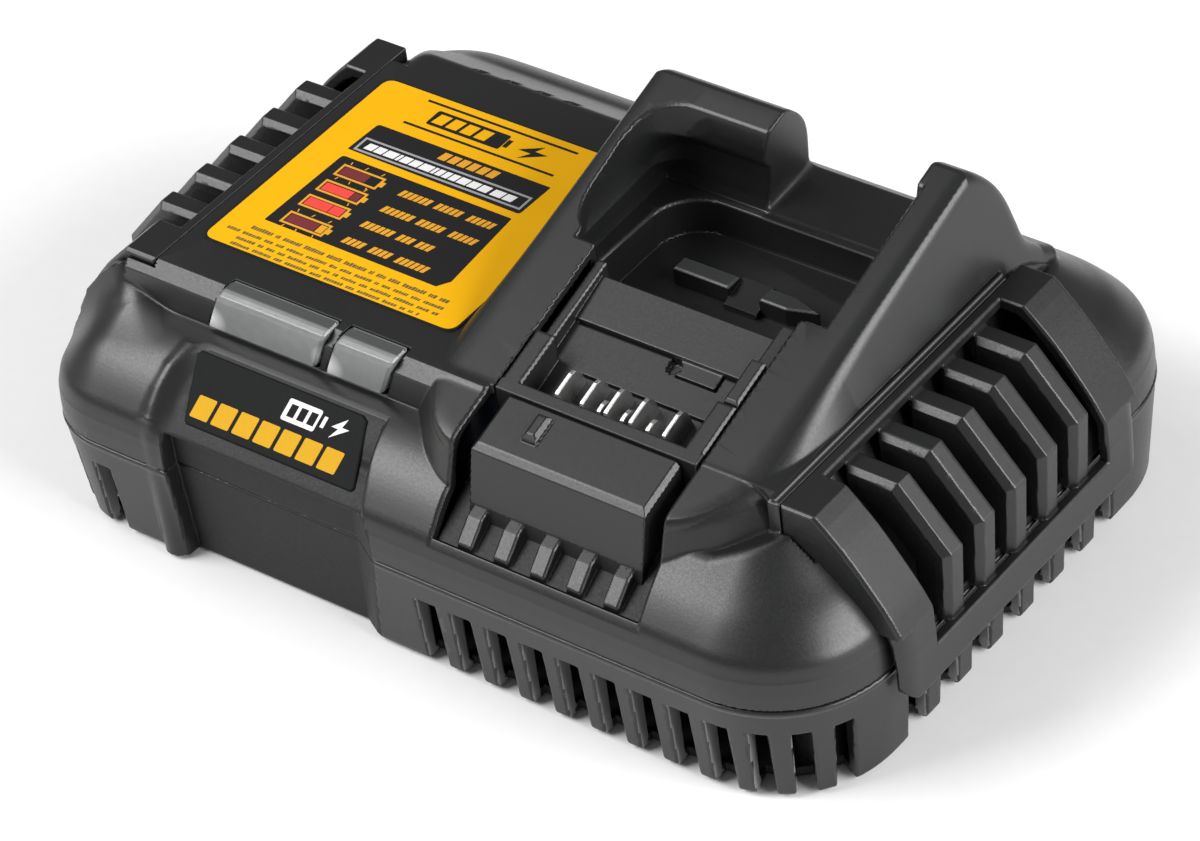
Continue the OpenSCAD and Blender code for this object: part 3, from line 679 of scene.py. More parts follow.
# -------- side covers
C_OUT = [(71.15, 52.9), (78.2, 52.9)] + smooth_line([(80.5, 50.8), (84.7, 46.4), (89, 40.9), (92.4, 36.1), (94.6, 32.2)], 4) + [(94.95, 26), (94.95, 16.0), (94.3, 15.4)]
COVER_FULL = Profile(C_OUT + [(91.2, 15.4), (91.2, 23.2), (90.4, 28.6), (89.0, 31.6), (87.0, 34.0), (84.2, 37.3), (80.6, 40.2), (77.0, 42.4), (71.15, 42.9)], pad=6)
COVER_IN = Profile([(71.3, 50.4), (76.6, 50.3), (79, 48.6), (82.9, 44.7), (87, 39.4), (90.3, 34.8), (92.3, 31.3), (92.6, 26), (92.6, 10), (60, 10), (60, 50.4)], pad=6)
BAR = Profile([(73.0, 51.4), (74.0, 50.8), (84.2, 50.6), (94.5, 38.5), (93.75, 24.2), (93.2, 22.2), (87, 22.2), (86.4, 34.6), (79.0, 43), (73.0, 43)], pad=6)
BAR_OUT = Profile([(40, 50.9), (84.2, 50.6), (94.5, 38.5), (93.75, 24.2), (93.75, 5), (40, 5)], pad=6)


def cover(x, y, z):
    full = COVER_FULL(x, z)
    ye = span(y, -42.0, 34.9)
    ends = np.where(z < 31.4, smax(full, ye, 4.4), cham(full, ye, 0.5)).astype(F4)
    # rounded lower corners of the flange
    dz, dy = z - 23.5, np.maximum(-36.0 - y, y - 28.9)
    rc = np.hypot(np.maximum(dy, 0), np.minimum(dz, 0) * 0.72) - 6.0
    ends = amax(ends, np.where(dz < 0, rc, -9.0).astype(F4))
    hollow = amax(COVER_IN(x, z), span(y, -39.6, 32.5))
    f = amax(ends, -hollow)
    # louvre opening
    op = amax(73.4 - x, span(y, -31.4, 24.2), 23.3 - z)
    f = cham(f, -op, 0.45)
    i = np.clip(np.round((y + 23.75) / 10.15), 0, 4)
    yb = y + 23.75 - 10.15 * i
    b = BAR(x, z)
    bar = amax(cham(b, -yb - 2.45, 1.25), smax(b, yb - 2.4, 0.5))
    return np.minimum(f, bar)


def cover_painted_shade(x, y, z):
    # painted shade on the inner faces that show through the louvres
    inner = (COVER_FULL(np.abs(x), z) < -0.6) | ((y > -31.2) & (y < 24.0))
    return (BAR_OUT(np.abs(x), z) < -2.7) & (np.abs(x) > 72.6) & (y > -38) & (y < 33) & inner


# -------- battery bay parts
def SLOPE(y, z):
    return plane(y, z, -61.4, 32.9, -53.4, 40.6)


def ramp_painted_shade(x, y, z):
    # painted shade on the low faces under the ramp's slope
    return (SLOPE(y, z) < -0.9) & (y < -51.5) & (z < 39)


def catch_painted_shade(x, y, z):
    # painted shade on the lower part of the catches, down in the pocket
    return z < 47.9


def ramp(x, y, z):
    xo, yo, zo = old(x, y, z)
    u = xo - 26.8
    h = -(60 + TB * yo - zo) * CB
    top = cham(h, amax(np.abs(u) - 19.3, plane(y, z, -54.3, 40.0, -52.1, 49.6)), 0.9)
    blk = amax(top, y + 40.95, 31.0 - z)
    sh = amax(np.abs(x - 29.95) - 22.6, span(y, -60.85, -43), 30.7 - z, plane(y, z, -60.85, 31.5, -53.0, 36.8))
    f = np.minimum(blk, sh)
    i = np.clip(np.round((x - 13.8) / 8.1), 0, 4)
    xb = np.abs(x - 13.8 - 8.1 * i) - 1.75
    prof = amax(SLOPE(y, z) + 0.2, plane(y, z, -57.6, 36.6, -53.0, 38.6), -60.8 - y, y + 52.5, 31.0 - z)
    rib = cham(xb, prof, 0.35)
    f = np.minimum(f, rib)
    bump = cham(amax(span(xo, 16.0, 19.2), span(yo, -44.1, -38.6)), h - 1.4, 0.8)
    bump = amax(bump, -h - 1)
    f = np.minimum(f, bump)
    hol = amax(np.abs(u) - 16.6, span(y, -52, -43), z - 46.5)
    return amax(f, -hol)


WELL_YZ = [(-36.5, -9), (-36.5, 0), (-34.0, 0), (-34.0, -6.0), (-24.0, -5.6), (-15.2, -5.2), (-14.9, -4.6), (-6.0, -4.0), (-5.6, -4.6), (-3.6, -8.0), (-3.6, -9)]
WELL = Profile(WELL_YZ, pad=6)


def terminal(x, y, z):
    xo, yo, zo = old(x, y, z)
    u = xo - 26.8
    h = -(60 + TB * yo - zo) * CB
    yy = yo / 1.0
    f = amax(np.abs(u) - 22.3, WELL(yy, h))
    left = cham(amax(span(xo, 4.5, 8.7), span(yo, -36.5, -23.0)), h, 0.5)
    right = cham(amax(span(xo, 45.0, 49.1), span(yo, -36.5, -23.4)), h, 0.5)
    lb = cham(amax(span(xo, 4.6, 6.9), span(yo, -23.4, -4.2)), h + 2.6, 0.4)
    rb = cham(amax(span(xo, 46.0, 49.1), span(yo, -23.2, -13.8)), h - 0.1, 0.5)
    rb2 = cham(amax(span(xo, 45.9, 49.1), span(yo, -13.9, -4.2)), h + 2.2, 0.4)
    walls = amax(amin(left, right, lb, rb, rb2), -9 - h)
    f = np.minimum(f, walls)
    fb = amax(cham(amax(np.abs(u) - 22.3, span(yo, -36.5, -34.0)), h, 0.5), -9 - h)
    f = np.minimum(f, fb)
    # seam between the contact carrier and the plate behind it
    seam = amin(amax(span(xo, 7.7, 29.3), span(yo, -15.4, -15.0)), amax(span(xo, 31.4, 40.0), span(yo, -18.4, -18.0)),
                amax(span(xo, 40.0, 40.5), span(yo, -18.4, -15.0)), amax(span(xo, 40.0, 45), span(yo, -15.4, -15.0)),
                np.hypot(xo - 30.2, yo + 16.6) - 1.5, amax(span(xo, 14, 42), span(yo, -24.3, -23.9)))
    f = amax(f, -amax(seam, h + 3.0, -6.6 - h))
    return f


def catches(x, y, z):
    a = cham(amax(span(x, 12.1, 24.7), span(y, 7.7, 11.5), 44.5 - z), z - 48.4, 0.4)
    b = amax(span(x, 24.4, 31.8), span(y, 6.1, 12.6), 44.5 - z, plane(y, z, 6.1, 45.6, 12.6, 47.6))
    tip = plane(x, y, 38.5, 7.9, 44.0, 9.6)
    tip2 = -plane(x, y, 38.5, 11.3, 44.0, 9.6)
    c = cham(amax(31.6 - x, span(y, 7.6, 11.5), 44.5 - z, -tip, -tip2), z - 48.4, 0.4)
    strip = amax(span(x, 12.4, 38.5), span(y, 5.0, 5.8), span(z, 43.5, 45.3))
    return amin(a, b, c)


# -------- lenses
LENS_YZ = Profile([(-44.75, 44.5), (-44.75, 51.9), (-44.3, 52.8), (-43.3, 53.25), (-40.4, 53.5), (-39.6, 53.1), (-39.4, 52.0), (-39.4, 44.5)], pad=6, step=0.1)


def lens(x0, x1):
    def f(x, y, z):
        t = (z - 44.5) / 9.0
        e = amax(-(x - (x0 + 4.0 * t)), x - (x1 + 3.8 * t)) * 0.92
        g = cham(LENS_YZ(y, z), e, 0.5)
        return g
    return f


# ------------------------------------------------------------------ build
Z_TOP = CAD_BOX[1][2] * 1000
up = sculpt("shell_upper", upper, (-91.4, -63.8, 22), (91.4, 63.8, Z_TOP + 0.5), 0.5, limit=185000, nodes=("upper_shell",), mat=HOUSING, dark=upper_painted_shade)
lo_ = sculpt("shell_lower", lower, (-91.6, -63.9, 0), (91.6, 63.9, 26), 0.5, limit=150000, nodes=("lower_shell",), mat=HOUSING, dark=lower_painted_shade_light)
cr = sculpt("cover_right", cover, (70, -42.4, 15), (95.2, 35.4, 53.2), 0.4, limit=90000, nodes=("side_cover_right",), mat=HOUSING, dark=cover_painted_shade)


def cover_left(x, y, z):
    edge = (-y - 43.95 + z - 52.9 + 2.65) * 0.70711
    return np.maximum(cover(-x, y, z), edge)


cl = sculpt("cover_left", cover_left, (-95.2, -42.4, 15), (-70, 35.4, 53.2), 0.4, limit=90000, nodes=("side_cover_left",), mat=HOUSING, dark=cover_painted_shade)
rp = sculpt("ramp", ramp, (6, -62, 30), (54, -40, 56), 0.35, limit=60000, nodes=("bay_ramp",), mat=HOUSING, dark=ramp_painted_shade)
tm = sculpt("terminal", terminal, (7, -42, 38), (54, -6, 64), 0.35, limit=80000, nodes=("terminal_block",), mat=HOUSING)
ct = sculpt("catches", catches, (11, 4.4, 43.4), (45, 14, 49), 0.3, limit=20000, nodes=("latch_catches",), mat=CATCH_PAINTED_LIGHT, dark=catch_painted_shade)

# ------------------------------------------------------------------ lenses
def lens_mat():
    m, nt, b = node_mat("frosted_lens")
    tc = nt.nodes.new("ShaderNodeTexCoord")
    no = nt.nodes.new("ShaderNodeTexNoise")
    no.inputs["Scale"].default_value = 420
    no.inputs["Detail"].default_value = 4
    link(nt, tc.outputs["Object"], no.inputs["Vector"])
    mx = nt.nodes.new("ShaderNodeMix")
    mx.data_type = "RGBA"
    mx.inputs["A"].default_value = (0.25, 0.26, 0.26, 1)
    mx.inputs["B"].default_value = (0.34, 0.35, 0.35, 1)
    link(nt, no.outputs["Fac"], mx.inputs["Factor"])


    def step(src, a0, a1, v0, v1):
        n = nt.nodes.new("ShaderNodeMapRange")
        n.inputs["From Min"].default_value = a0
        n.inputs["From Max"].default_value = a1
        n.inputs["To Min"].default_value = v0
        n.inputs["To Max"].default_value = v1
        link(nt, src, n.inputs["Value"])
        return n.outputs["Result"]

    def op(kind, a, c):
        n = nt.nodes.new("ShaderNodeMath")
        n.operation = kind
        link(nt, a, n.inputs[0])
        link(nt, c, n.inputs[1])
        return n.outputs["Value"]

    def toward(col, fac, colour):
        n = nt.nodes.new("ShaderNodeMix")
        n.data_type = "RGBA"
        link(nt, fac, n.inputs["Factor"])
        link(nt, col, n.inputs["A"])
        n.inputs["B"].default_value = colour
        return n.outputs["Result"]

    sep = nt.nodes.new("ShaderNodeSeparateXYZ")
    link(nt, tc.outputs["Object"], sep.inputs["Vector"])
    # thinner window in the top, and painted highlights at the left ends of the light pipe
    win = op("MULTIPLY", step(sep.outputs["Z"], 0.0529, 0.0532, 0, 1), op("MULTIPLY", step(sep.outputs["Y"], -0.0428, -0.0423, 0, 1), step(sep.outputs["Y"], -0.0404, -0.0400, 1, 0)))
    painted_glint = None
    for px in (-0.0562, -0.0282):
        d = nt.nodes.new("ShaderNodeVectorMath")
        d.operation = "DISTANCE"
        d.inputs[1].default_value = (px, -0.0447, 0.0468)
        link(nt, tc.outputs["Object"], d.inputs[0])
        g = step(d.outputs["Value"], 0.0008, 0.0040, 1, 0)
        painted_glint = g if painted_glint is None else op("MAXIMUM", painted_glint, g)
    colr = toward(mx.outputs["Result"], win, (0.09, 0.094, 0.094, 1))
    # near-white spots at the left ends: painted highlight
    colr = toward(colr, painted_glint, (0.95, 0.95, 0.95, 1))
    link(nt, colr, b.inputs["Base Color"])
    rr = nt.nodes.new("ShaderNodeMapRange")
    rr.inputs["To Min"].default_value = 0.16
    rr.inputs["To Max"].default_value = 0.30
    link(nt, no.outputs["Fac"], rr.inputs["Value"])
    link(nt, rr.outputs["Result"], b.inputs["Roughness"])
    bp = nt.nodes.new("ShaderNodeBump")
    bp.inputs["Strength"].default_value = 0.08
    bp.inputs["Distance"].default_value = 0.0002
    link(nt, no.outputs["Fac"], bp.inputs["Height"])
    link(nt, bp.outputs["Normal"], b.inputs["Normal"])
    b.inputs["Transmission Weight"].default_value = 0.35
    b.inputs["IOR"].default_value = 1.49
    return m


LENS = lens_mat()
la = sculpt("lens_a", lens(-57.3, -31.6), (-58, -45.4, 44), (-26.5, -38.8, 54), 0.22, limit=40000, nodes=("lens_large",), mat=LENS)
lb = sculpt("lens_b", lens(-29.1, -15.7), (-30, -45.4, 44), (-10.5, -38.8, 54), 0.22, limit=40000, nodes=("lens_small",), mat=LENS)


# ------------------------------------------------------------------ printed parts
def print_mat(name, col, rough=0.42, mott=0.05, spec=0.25):
    m, nt, b = node_mat(name)
    tc = nt.nodes.new("ShaderNodeTexCoord")
    no = nt.nodes.new("ShaderNodeTexNoise")
    no.inputs["Scale"].default_value = 90
    no.inputs["Detail"].default_value = 6
    link(nt, tc.outputs["Object"], no.inputs["Vector"])
    mx = nt.nodes.new("ShaderNodeMix")
    mx.data_type = "RGBA"
    mx.inputs["A"].default_value = [c * (1 - mott) for c in col] + [1]
    mx.inputs["B"].default_value = [min(1, c * (1 + mott)) for c in col] + [1]
    link(nt, no.outputs["Fac"], mx.inputs["Factor"])
    link(nt, mx.outputs["Result"], b.inputs["Base Color"])
    n2 = nt.nodes.new("ShaderNodeTexNoise")
    n2.inputs["Scale"].default_value = 1500
    link(nt, tc.outputs["Object"], n2.inputs["Vector"])
    rr = nt.nodes.new("ShaderNodeMapRange")
    rr.inputs["To Min"].default_value = rough - 0.06
    rr.inputs["To Max"].default_value = rough + 0.08
    link(nt, n2.outputs["Fac"], rr.inputs["Value"])
    link(nt, rr.outputs["Result"], b.inputs["Roughness"])
    bp = nt.nodes.new("ShaderNodeBump")
    bp.inputs["Strength"].default_value = 0.06
    bp.inputs["Distance"].default_value = 0.0001
    link(nt, n2.outputs["Fac"], bp.inputs["Height"])
    link(nt, bp.outputs["Normal"], b.inputs["Normal"])
    b.inputs["Specular IOR Level"].default_value = spec
    return m


YELLOW = print_mat("label_yellow", (0.75, 0.38, 0.003), 0.5, 0.05, 0.12)
BADGE_YELLOW = print_mat("badge_yellow", (0.60, 0.32, 0.003), 0.5, 0.05, 0.12)
INK = print_mat("print_black", (0.012, 0.012, 0.013), 0.38)
GREY = print_mat("print_grey", (0.30, 0.31, 0.32), 0.42)
WHITE = print_mat("print_white", (0.72, 0.72, 0.71), 0.45)
AMBER = print_mat("print_amber", (0.66, 0.31, 0.02), 0.45)
RED = print_mat("print_red", (0.80, 0.06, 0.05), 0.45)
MAROON = print_mat("print_maroon", (0.16, 0.025, 0.03), 0.45)
SMALL = print_mat("print_small", (0.13, 0.10, 0.035), 0.45)


def deck_map(p):
    return Vector((p[0], p[1], 52.9)), Vector((0, 0, 1))


BC, BS = math.cos(math.radians(41.8)), math.sin(math.radians(41.8))


def badge_map(p):
    return Vector((p[0], -60 + p[1] * BC, 33.6 + p[1] * BS)), Vector((0, -BS, BC))


def plates(name, polys, where, z0, z1, mat):
    """Thin raised prints: each outline is a flat plate between z0 and z1 above its surface."""
    V, F = [], []
    for poly in polys:
        n = len(poly)
        b = len(V)
        area2 = sum(poly[i][0] * poly[(i + 1) % n][1] - poly[(i + 1) % n][0] * poly[i][1] for i in range(n))
        q = list(poly) if area2 > 0 else list(reversed(poly))
        for h in (z0, z1):
            for p in q:
                c, nn = where(p)
                V.append(tuple((c + nn * h) * 0.001))
        F.append([b + n + i for i in range(n)])
        F.append([b + i for i in reversed(range(n))])
        for i in range(n):
            j = (i + 1) % n
            F.append([b + i, b + j, b + n + j, b + n + i])
    me = bpy.data.meshes.new(name)
    me.from_pydata(V, [], F)
    me.update()
    ob = bpy.data.objects.new(name, me)
    bpy.context.scene.collection.objects.link(ob)
    dress(ob, mat, ())
    return ob


def rounded(poly, r, n=5):
    """Outline with rounded corners; r is one radius or one per corner."""
    m = len(poly)
    rs = r if isinstance(r, (list, tuple)) else [r] * m
    out = []
    for i in range(m):
        p0, p1, p2 = [Vector(poly[(i + k) % m]) for k in (-1, 0, 1)]
        a, b = (p0 - p1), (p2 - p1)
        la_, lb_ = a.length, b.length
        a.normalize()
        b.normalize()
        ang = a.angle(b)
        d = min(rs[i] / math.tan(ang / 2), la_ * 0.45, lb_ * 0.45)
        if rs[i] <= 0:
            out.append(tuple(p1))
            continue
        A, B = p1 + a * d, p1 + b * d
        for k in range(n + 1):
            t = k / n
            q = (A * (1 - t) + p1 * t) * (1 - t) + (p1 * (1 - t) + B * t) * t
            out.append(tuple(q))
    return out


def grow(poly, d):
    """Outline moved outwards by d."""
    m = len(poly)
    ar = sum(poly[i][0] * poly[(i + 1) % m][1] - poly[(i + 1) % m][0] * poly[i][1] for i in range(m))
    sgn = 1 if ar > 0 else -1
    out = []
    for i in range(m):
        p0, p1, p2 = [np.array(poly[(i + k) % m]) for k in (-1, 0, 1)]
        e1, e2 = p1 - p0, p2 - p1
        e1 = e1 / (np.linalg.norm(e1) + 1e-9)
        e2 = e2 / (np.linalg.norm(e2) + 1e-9)
        n1, n2 = np.array([e1[1], -e1[0]]) * sgn, np.array([e2[1], -e2[0]]) * sgn
        k = n1 + n2
        k = k / max(k @ k, 1e-6) * 2
        out.append(tuple(p1 + k * d))
    return out


def rect(x0, y0, x1, y1, slant=0.0):
    s = slant * (y1 - y0)
    return [(x0, y0), (x1, y0), (x1 + s, y1), (x0 + s, y1)]


def frame_strips(x0, y0, x1, y1, t):
    return [rect(x0, y0, x1, y0 + t), rect(x0, y1 - t, x1, y1), rect(x0, y0 + t, x0 + t, y1 - t), rect(x1 - t, y0 + t, x1, y1 - t)]


LBL = [(-67.5, -31.9), (-8.2, -31.9), (-8.2, 24.4), (-67.5, 24.4)]
film = plates("label_film", [rounded(grow(LBL, 0.45), 2.6)], deck_map, 0.0, 0.26, INK)
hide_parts("deck_label")
plates("label_yellow", [rounded(LBL, 2.4)], deck_map, 0.26, 0.30, YELLOW)
T0, T1 = 0.30, 0.33
ink = [rect(-56.0, 22.1, -20.0, 22.7), rect(-56.0, 14.3, -20.0, 14.9),
       rounded([(-60.2, 2.6), (-18.5, 2.0), (-18.2, 11.4), (-59.8, 11.6)], [0.3, 0.8, 0.3, 0.9]),
       rounded([(-60.2, -22.5), (-18.9, -22.9), (-17.2, -20.4), (-18.9, 0.2), (-59.7, 0.5)], [0.3, 0.5, 0.5, 0.3, 0.9])]
# plain battery and spark between the two stripes
ink += [rounded(rect(-52.0, 16.2, -34.5, 20.8), 0.6), rect(-34.3, 17.3, -33.3, 19.7)]
ink += [[(-26.6, 21.0), (-31.0, 18.1), (-28.0, 18.1), (-29.6, 15.8), (-24.6, 19.0), (-27.6, 19.0)]]
plates("label_ink", ink, deck_map, T0, T1, INK)
y_in = [rect(-51.2 + 3.4 * i, 17.0, -48.6 + 3.4 * i, 20.0, 0.15) for i in range(4)]
y_in.append(rect(-37.6, 17.0, -36.2, 20.0, 0.15))
plates("label_cells", y_in[:4], deck_map, T1, T1 + 0.02, YELLOW)
plates("label_frame", [rect(-59.2, 3.0, -19.2, 3.5), rect(-59.2, 6.7, -19.2, 7.2), rect(-59.2, 3.5, -58.7, 6.7), rect(-19.7, 3.5, -19.2, 6.7)], deck_map, T1, T1 + 0.02, GREY)
wb, x = [], -57.6
for wd in (2.0, 2.0, 2.6, 0.7, 2.0, 2.0, 2.6, 0.7, 1.3, 1.3, 1.6, 2.2, 2.2, 2.2, 0.1, 2.6, 2.2, 2.2):
    if wd > 0.2:
        wb.append(rect(x, 4.1, x + wd, 6.0, 0.2))
    x += wd + 0.32
plates("label_white", [q for q in wb if q[1][0] < -20.6], deck_map, T1, T1 + 0.02, WHITE)
am = [rect(-43.0 + 2.3 * i, 8.3, -41.2 + 2.3 * i, 10.6, 0.2) for i in range(6)]
for xa, xb, yc in ((-42.6, -20.4, -3.5), (-42.6, -20.6, -9.0), (-43.0, -25.2, -14.5), (-43.1, -23.4, -20.0)):
    x = xa
    while x < xb - 1.0:
        wd = float(rng.choice([3.4, 5.2, 6.6, 7.4]))
        x1 = min(x + wd, xb)
        k = x
        while k < x1 - 0.8:
            am.append(rect(k, yc - 0.95, k + 0.92, yc + 0.95, 0.25))
            k += 1.22
        x = x1 + 1.1
for x0, y0 in ((-57.6, -5.2), (-57.6, -10.6), (-57.6, -15.8), (-57.4, -21.6)):
    am += frame_strips(x0, y0, x0 + 10.2, y0 + 3.7, 0.5)
    am.append(rect(x0 + 10.2, y0 + 1.1, x0 + 11.0, y0 + 2.6))
rays = []
for (x0, y0) in ((-57.6, -5.2), (-57.4, -21.6), (-57.6, -10.6)):
    xs = (1.2, 4.6, 8.6) if y0 != -10.6 else (8.6,)
    for dx in xs:
        rays.append(rect(x0 + dx, y0 + 4.0, x0 + dx + 0.25, y0 + 4.8, -0.3 if dx < 4 else 0.3))
        rays.append(rect(x0 + dx, y0 - 1.0, x0 + dx + 0.25, y0 - 0.3, 0.3 if dx < 4 else -0.3))
am += rays + [rect(-49.4, -20.9, -47.9, -18.6)]
plates("label_amber", am, deck_map, T1, T1 + 0.02, AMBER)
plates("label_red", [rect(-56.8, -9.9, -50.2, -7.7), rect(-56.8, -15.1, -51.2, -12.8), rect(-51.0, -15.1, -48.2, -12.8)], deck_map, T1, T1 + 0.02, RED)
plates("label_maroon", [rect(-56.8, -4.5, -50.6, -2.2), rect(-50.0, -9.9, -48.2, -7.7), rect(-56.6, -20.9, -49.7, -18.6)], deck_map, T1, T1 + 0.02, MAROON)
small = []
for y, xa, xb, h in ((-25.4, -60.8, -13.0, 1.05), (-27.5, -65.0, -12.6, 0.8), (-29.3, -61.4, -12.9, 0.8), (-31.0, -61.4, -16.6, 0.8)):
    x = xa
    while x < xb:
        wl = int(rng.integers(2, 9))
        for _ in range(wl):
            wd = float(rng.uniform(0.30, 0.62))
            if x + wd > xb:
                break
            small.append(rect(x, y - h / 2, x + wd, y + h / 2 * float(rng.uniform(0.55, 1.0)), 0.12))
            x += wd + 0.16
        x += 0.75
plates("label_small", small, deck_map, T0, T1, SMALL)

BADGE = print_mat("badge_black", (0.008, 0.0085, 0.0088), 0.46, 0.12, 0.05)
BDG = [(-52.3, 0.2), (-13.0, 0.2), (-12.4, 1.0), (-15.3, 13.2), (-16.6, 14.0), (-54.9, 14.0), (-55.8, 13.1), (-53.0, 1.0)]
bd = plates("badge_plate", [BDG], badge_map, -1.1, 0.0, BADGE)
bv = bd.modifiers.new("bevel", "BEVEL")
bv.width = 0.00035
bv.segments = 3
bv.limit_method = "ANGLE"
bv.angle_limit = math.radians(50)
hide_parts("front_badge")
seg = []
for i in range(7):
    x0 = -52.2 + 5.05 * i
    seg.append(rounded(rect(x0, 1.9, x0 + 4.2, 6.3, 0.16), 0.35, 3))
plates("badge_segments", seg, badge_map, 0.0, 0.05, BADGE_YELLOW)
gr = [rounded(rect(-33.2, 7.7, -25.4, 12.0, 0.16), 0.5, 3), rect(-24.4, 9.0, -23.6, 11.2, 0.16)]
gr += [[(-19.0, 12.2), (-22.0, 9.9), (-20.4, 9.9), (-21.8, 7.8), (-18.0, 10.4), (-19.7, 10.4)]]
plates("badge_icon", gr, badge_map, 0.0, 0.05, WHITE)
plates("badge_cells", [rect(-32.1 + 2.35 * i, 8.6, -30.5 + 2.35 * i, 11.1, 0.16) for i in range(3)], badge_map, 0.05, 0.07, BADGE)


# ------------------------------------------------------------------ contact blades
def metal(name, col, rough, bump=0.05, scale=900):
    m, nt, b = node_mat(name)
    tc = nt.nodes.new("ShaderNodeTexCoord")
    no = nt.nodes.new("ShaderNodeTexNoise")
    no.inputs["Scale"].default_value = scale
    no.inputs["Detail"].default_value = 5
    link(nt, tc.outputs["Object"], no.inputs["Vector"])
    mx = nt.nodes.new("ShaderNodeMix")
    mx.data_type = "RGBA"
    mx.inputs["A"].default_value = [c * 0.9 for c in col] + [1]
    mx.inputs["B"].default_value = [min(1, c * 1.06) for c in col] + [1]
    link(nt, no.outputs["Fac"], mx.inputs["Factor"])
    link(nt, mx.outputs["Result"], b.inputs["Base Color"])
    rr = nt.nodes.new("ShaderNodeMapRange")
    rr.inputs["To Min"].default_value = rough * 0.8
    rr.inputs["To Max"].default_value = rough * 1.3
    link(nt, no.outputs["Fac"], rr.inputs["Value"])
    link(nt, rr.outputs["Result"], b.inputs["Roughness"])
    bp = nt.nodes.new("ShaderNodeBump")
    bp.inputs["Strength"].default_value = bump
    bp.inputs["Distance"].default_value = 0.0001
    link(nt, no.outputs["Fac"], bp.inputs["Height"])
    link(nt, bp.outputs["Normal"], b.inputs["Normal"])
    b.inputs["Metallic"].default_value = 1.0
    return m


NICKEL = metal("blade_tin", (0.80, 0.80, 0.79), 0.30)


def bay_point(u, yo, h):
    """Point of the measured frame at u, y and height h square to the rim plane."""
    c, s = CB, math.sin(math.radians(17.3))
    y = yo - h * s * 1.0
    z = 60 + TB * yo + h * c
    return (0.99216 * (u + 26.8) + 3.78, 0.99216 * y - 4.31, 0.99216 * z + 4.78)


def blades(name, us, y0, y1, top, node):
    V, F = [], []
    for u in us:
        outline = [(y0, -7.5), (y0, top - 0.5), (y0 + 0.35, top - 0.1), (y0 + 0.9, top), (y1 - 2.0, top), (y1 - 1.0, top - 0.35), (y1 - 0.3, top - 1.3), (y1, top - 2.6), (y1, -7.5)]
        b = len(V)
        n = len(outline)
        for du in (-0.42, 0.42):
            for yy, hh in outline:
                V.append(tuple(0.001 * v for v in bay_point(u + du, yy, hh)))
        F.append([b + i for i in range(n)])
        F.append([b + n + i for i in reversed(range(n))])
        for i in range(n):
            j = (i + 1) % n
            F.append([b + j, b + i, b + n + i, b + n + j])
    me = bpy.data.meshes.new(name)
    me.from_pydata(V, [], F)
    me.update()
    ob = bpy.data.objects.new(name, me)
    bpy.context.scene.collection.objects.link(ob)
    bv = ob.modifiers.new("bevel", "BEVEL")
    bv.width = 0.00012
    bv.segments = 2
    bv.limit_method = "ANGLE"
    bv.angle_limit = math.radians(50)
    dress(ob, NICKEL, (node,))
    return ob


blades("blades_power", [-10.8, -5.2, 0.1, 5.6, 13.0], -33.7, -26.8, -0.4, "power_blades")
blades("blades_signal", [-1.6, 3.6, 9.2], -33.7, -29.8, -0.9, "signal_blades")

# ------------------------------------------------------------------ kept CAD parts
RUBBER = plastic("rubber_black", (0.012, 0.012, 0.012), rough=(0.62, 0.78), grain=0.7, bump=0.2, wear_and_edge_highlight=0.1)
STEEL = metal("screw_steel", (0.50, 0.50, 0.51), 0.34, 0.08)
ALU = metal("sink_aluminium", (0.62, 0.63, 0.65), 0.38, 0.10, 500)
COPPER = metal("winding_copper", (0.62, 0.28, 0.12), 0.32, 0.15, 700)
BOARD = plastic("board_green", (0.005, 0.026, 0.012), rough=(0.30, 0.42), wear_and_edge_highlight=0.1, bump=0.08)
SLEEVE = plastic("cap_sleeve", (0.012, 0.016, 0.04), rough=(0.25, 0.35), wear_and_edge_highlight=0.1)
TAPE = plastic("winding_tape", (0.10, 0.075, 0.02), rough=(0.35, 0.5), wear_and_edge_highlight=0.1)
LEAD = plastic("lead_red", (0.30, 0.02, 0.015), rough=(0.4, 0.5), wear_and_edge_highlight=0.1)
LEDM = plastic("led_body", (0.55, 0.12, 0.06), rough=(0.2, 0.3), wear_and_edge_highlight=0.1)
FUSE = plastic("fuse_glass", (0.35, 0.36, 0.36), rough=(0.12, 0.2), wear_and_edge_highlight=0.1)
CADMAT = {"led_board": BOARD, "status_leds": LEDM, "circuit_board": BOARD, "transformer": TAPE, "filter_choke": COPPER,
          "bulk_capacitors": SLEEVE, "heat_sink": ALU, "power_transistors": BLACK, "mains_fuse": FUSE, "fan_frame": BLACK,
          "fan_rotor": BLACK, "fan_screws": STEEL, "case_screws": STEEL, "rubber_feet": RUBBER, "cord_inlet": RUBBER,
          "terminal_leads": LEAD}
for nm, mt in CADMAT.items():
    if nm in N:
        N[nm].data.materials.clear()
        N[nm].data.materials.append(mt)

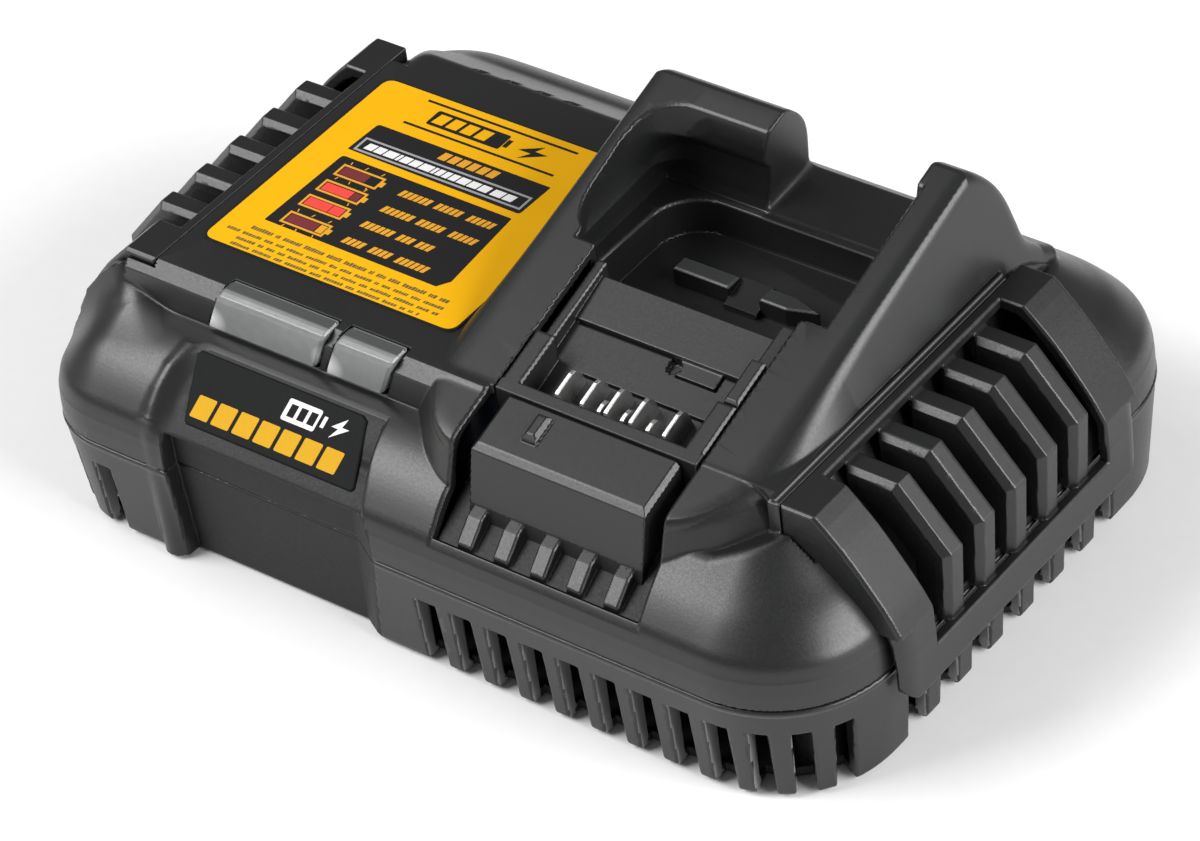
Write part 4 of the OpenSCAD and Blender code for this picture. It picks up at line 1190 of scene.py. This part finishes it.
# ------------------------------------------------------------------ camera
AZ, EL, RO = [math.radians(v) for v in (41.457, 39.198, 7.814)]
fw = np.array([-math.sin(AZ) * math.cos(EL), math.cos(AZ) * math.cos(EL), -math.sin(EL)])
rt = np.array([math.cos(AZ), math.sin(AZ), 0.0])
dn = np.cross(fw, rt)
cr_, sr_ = math.cos(RO), math.sin(RO)
R0, R1, R2 = cr_ * rt + sr_ * dn, -sr_ * rt + cr_ * dn, fw
M = Matrix(((R0[0], -R1[0], -R2[0], 0.4822), (R0[1], -R1[1], -R2[1], -0.5502), (R0[2], -R1[2], -R2[2], 0.6094), (0, 0, 0, 1)))
cam_d = bpy.data.cameras.new("camera")
cam_d.lens = 150
cam_d.sensor_width = 36
cam_d.clip_start = 0.05
cam_d.clip_end = 50
cam = bpy.data.objects.new("camera", cam_d)
cam.matrix_world = M
bpy.context.scene.collection.objects.link(cam)
bpy.context.scene.camera = cam
bpy.context.scene.view_settings.view_transform = "Standard"
bpy.context.scene.view_settings.look = "None"

# ------------------------------------------------------------------ stage and light
fm, fnt, fb = node_mat("floor_paper")
ftc = fnt.nodes.new("ShaderNodeTexCoord")
fno = fnt.nodes.new("ShaderNodeTexNoise")
fno.inputs["Scale"].default_value = 260
link(fnt, ftc.outputs["Object"], fno.inputs["Vector"])
fmx = fnt.nodes.new("ShaderNodeMix")
fmx.data_type = "RGBA"
fmx.inputs["A"].default_value = (0.84, 0.84, 0.84, 1)
fmx.inputs["B"].default_value = (0.87, 0.87, 0.87, 1)
link(fnt, fno.outputs["Fac"], fmx.inputs["Factor"])
link(fnt, fmx.outputs["Result"], fb.inputs["Base Color"])
fb.inputs["Roughness"].default_value = 0.9
S = 6.0
floor = new_mesh("floor", [(-S, -S, 0), (S, -S, 0), (S, S, 0), (-S, S, 0)], [(0, 1, 2, 3)])
floor.data.materials.append(fm)

w = bpy.data.worlds.new("world")
bpy.context.scene.world = w
w.use_nodes = True
w.node_tree.nodes["Background"].inputs["Color"].default_value = (1, 1, 1, 1)
w.node_tree.nodes["Background"].inputs["Strength"].default_value = 0.20


def area(name, direction, dist, sx, sy, power, target=(0, 0, 0.03)):
    d = bpy.data.lights.new(name, "AREA")
    d.shape = "RECTANGLE"
    d.size, d.size_y = sx, sy
    d.energy = power
    o = bpy.data.objects.new(name, d)
    v = Vector(direction).normalized()
    o.location = Vector(target) + v * dist
    o.rotation_euler = (-v).to_track_quat("-Z", "Y").to_euler()
    bpy.context.scene.collection.objects.link(o)
    return o


area("key_left", (-0.54, -0.50, 0.68), 1.3, 0.9, 0.7, 18)
area("key_right", (0.90, 0.10, 0.42), 1.4, 1.1, 0.8, 29)
area("top", (-0.50, 0.02, 0.86), 1.6, 0.4, 0.4, 1.6)
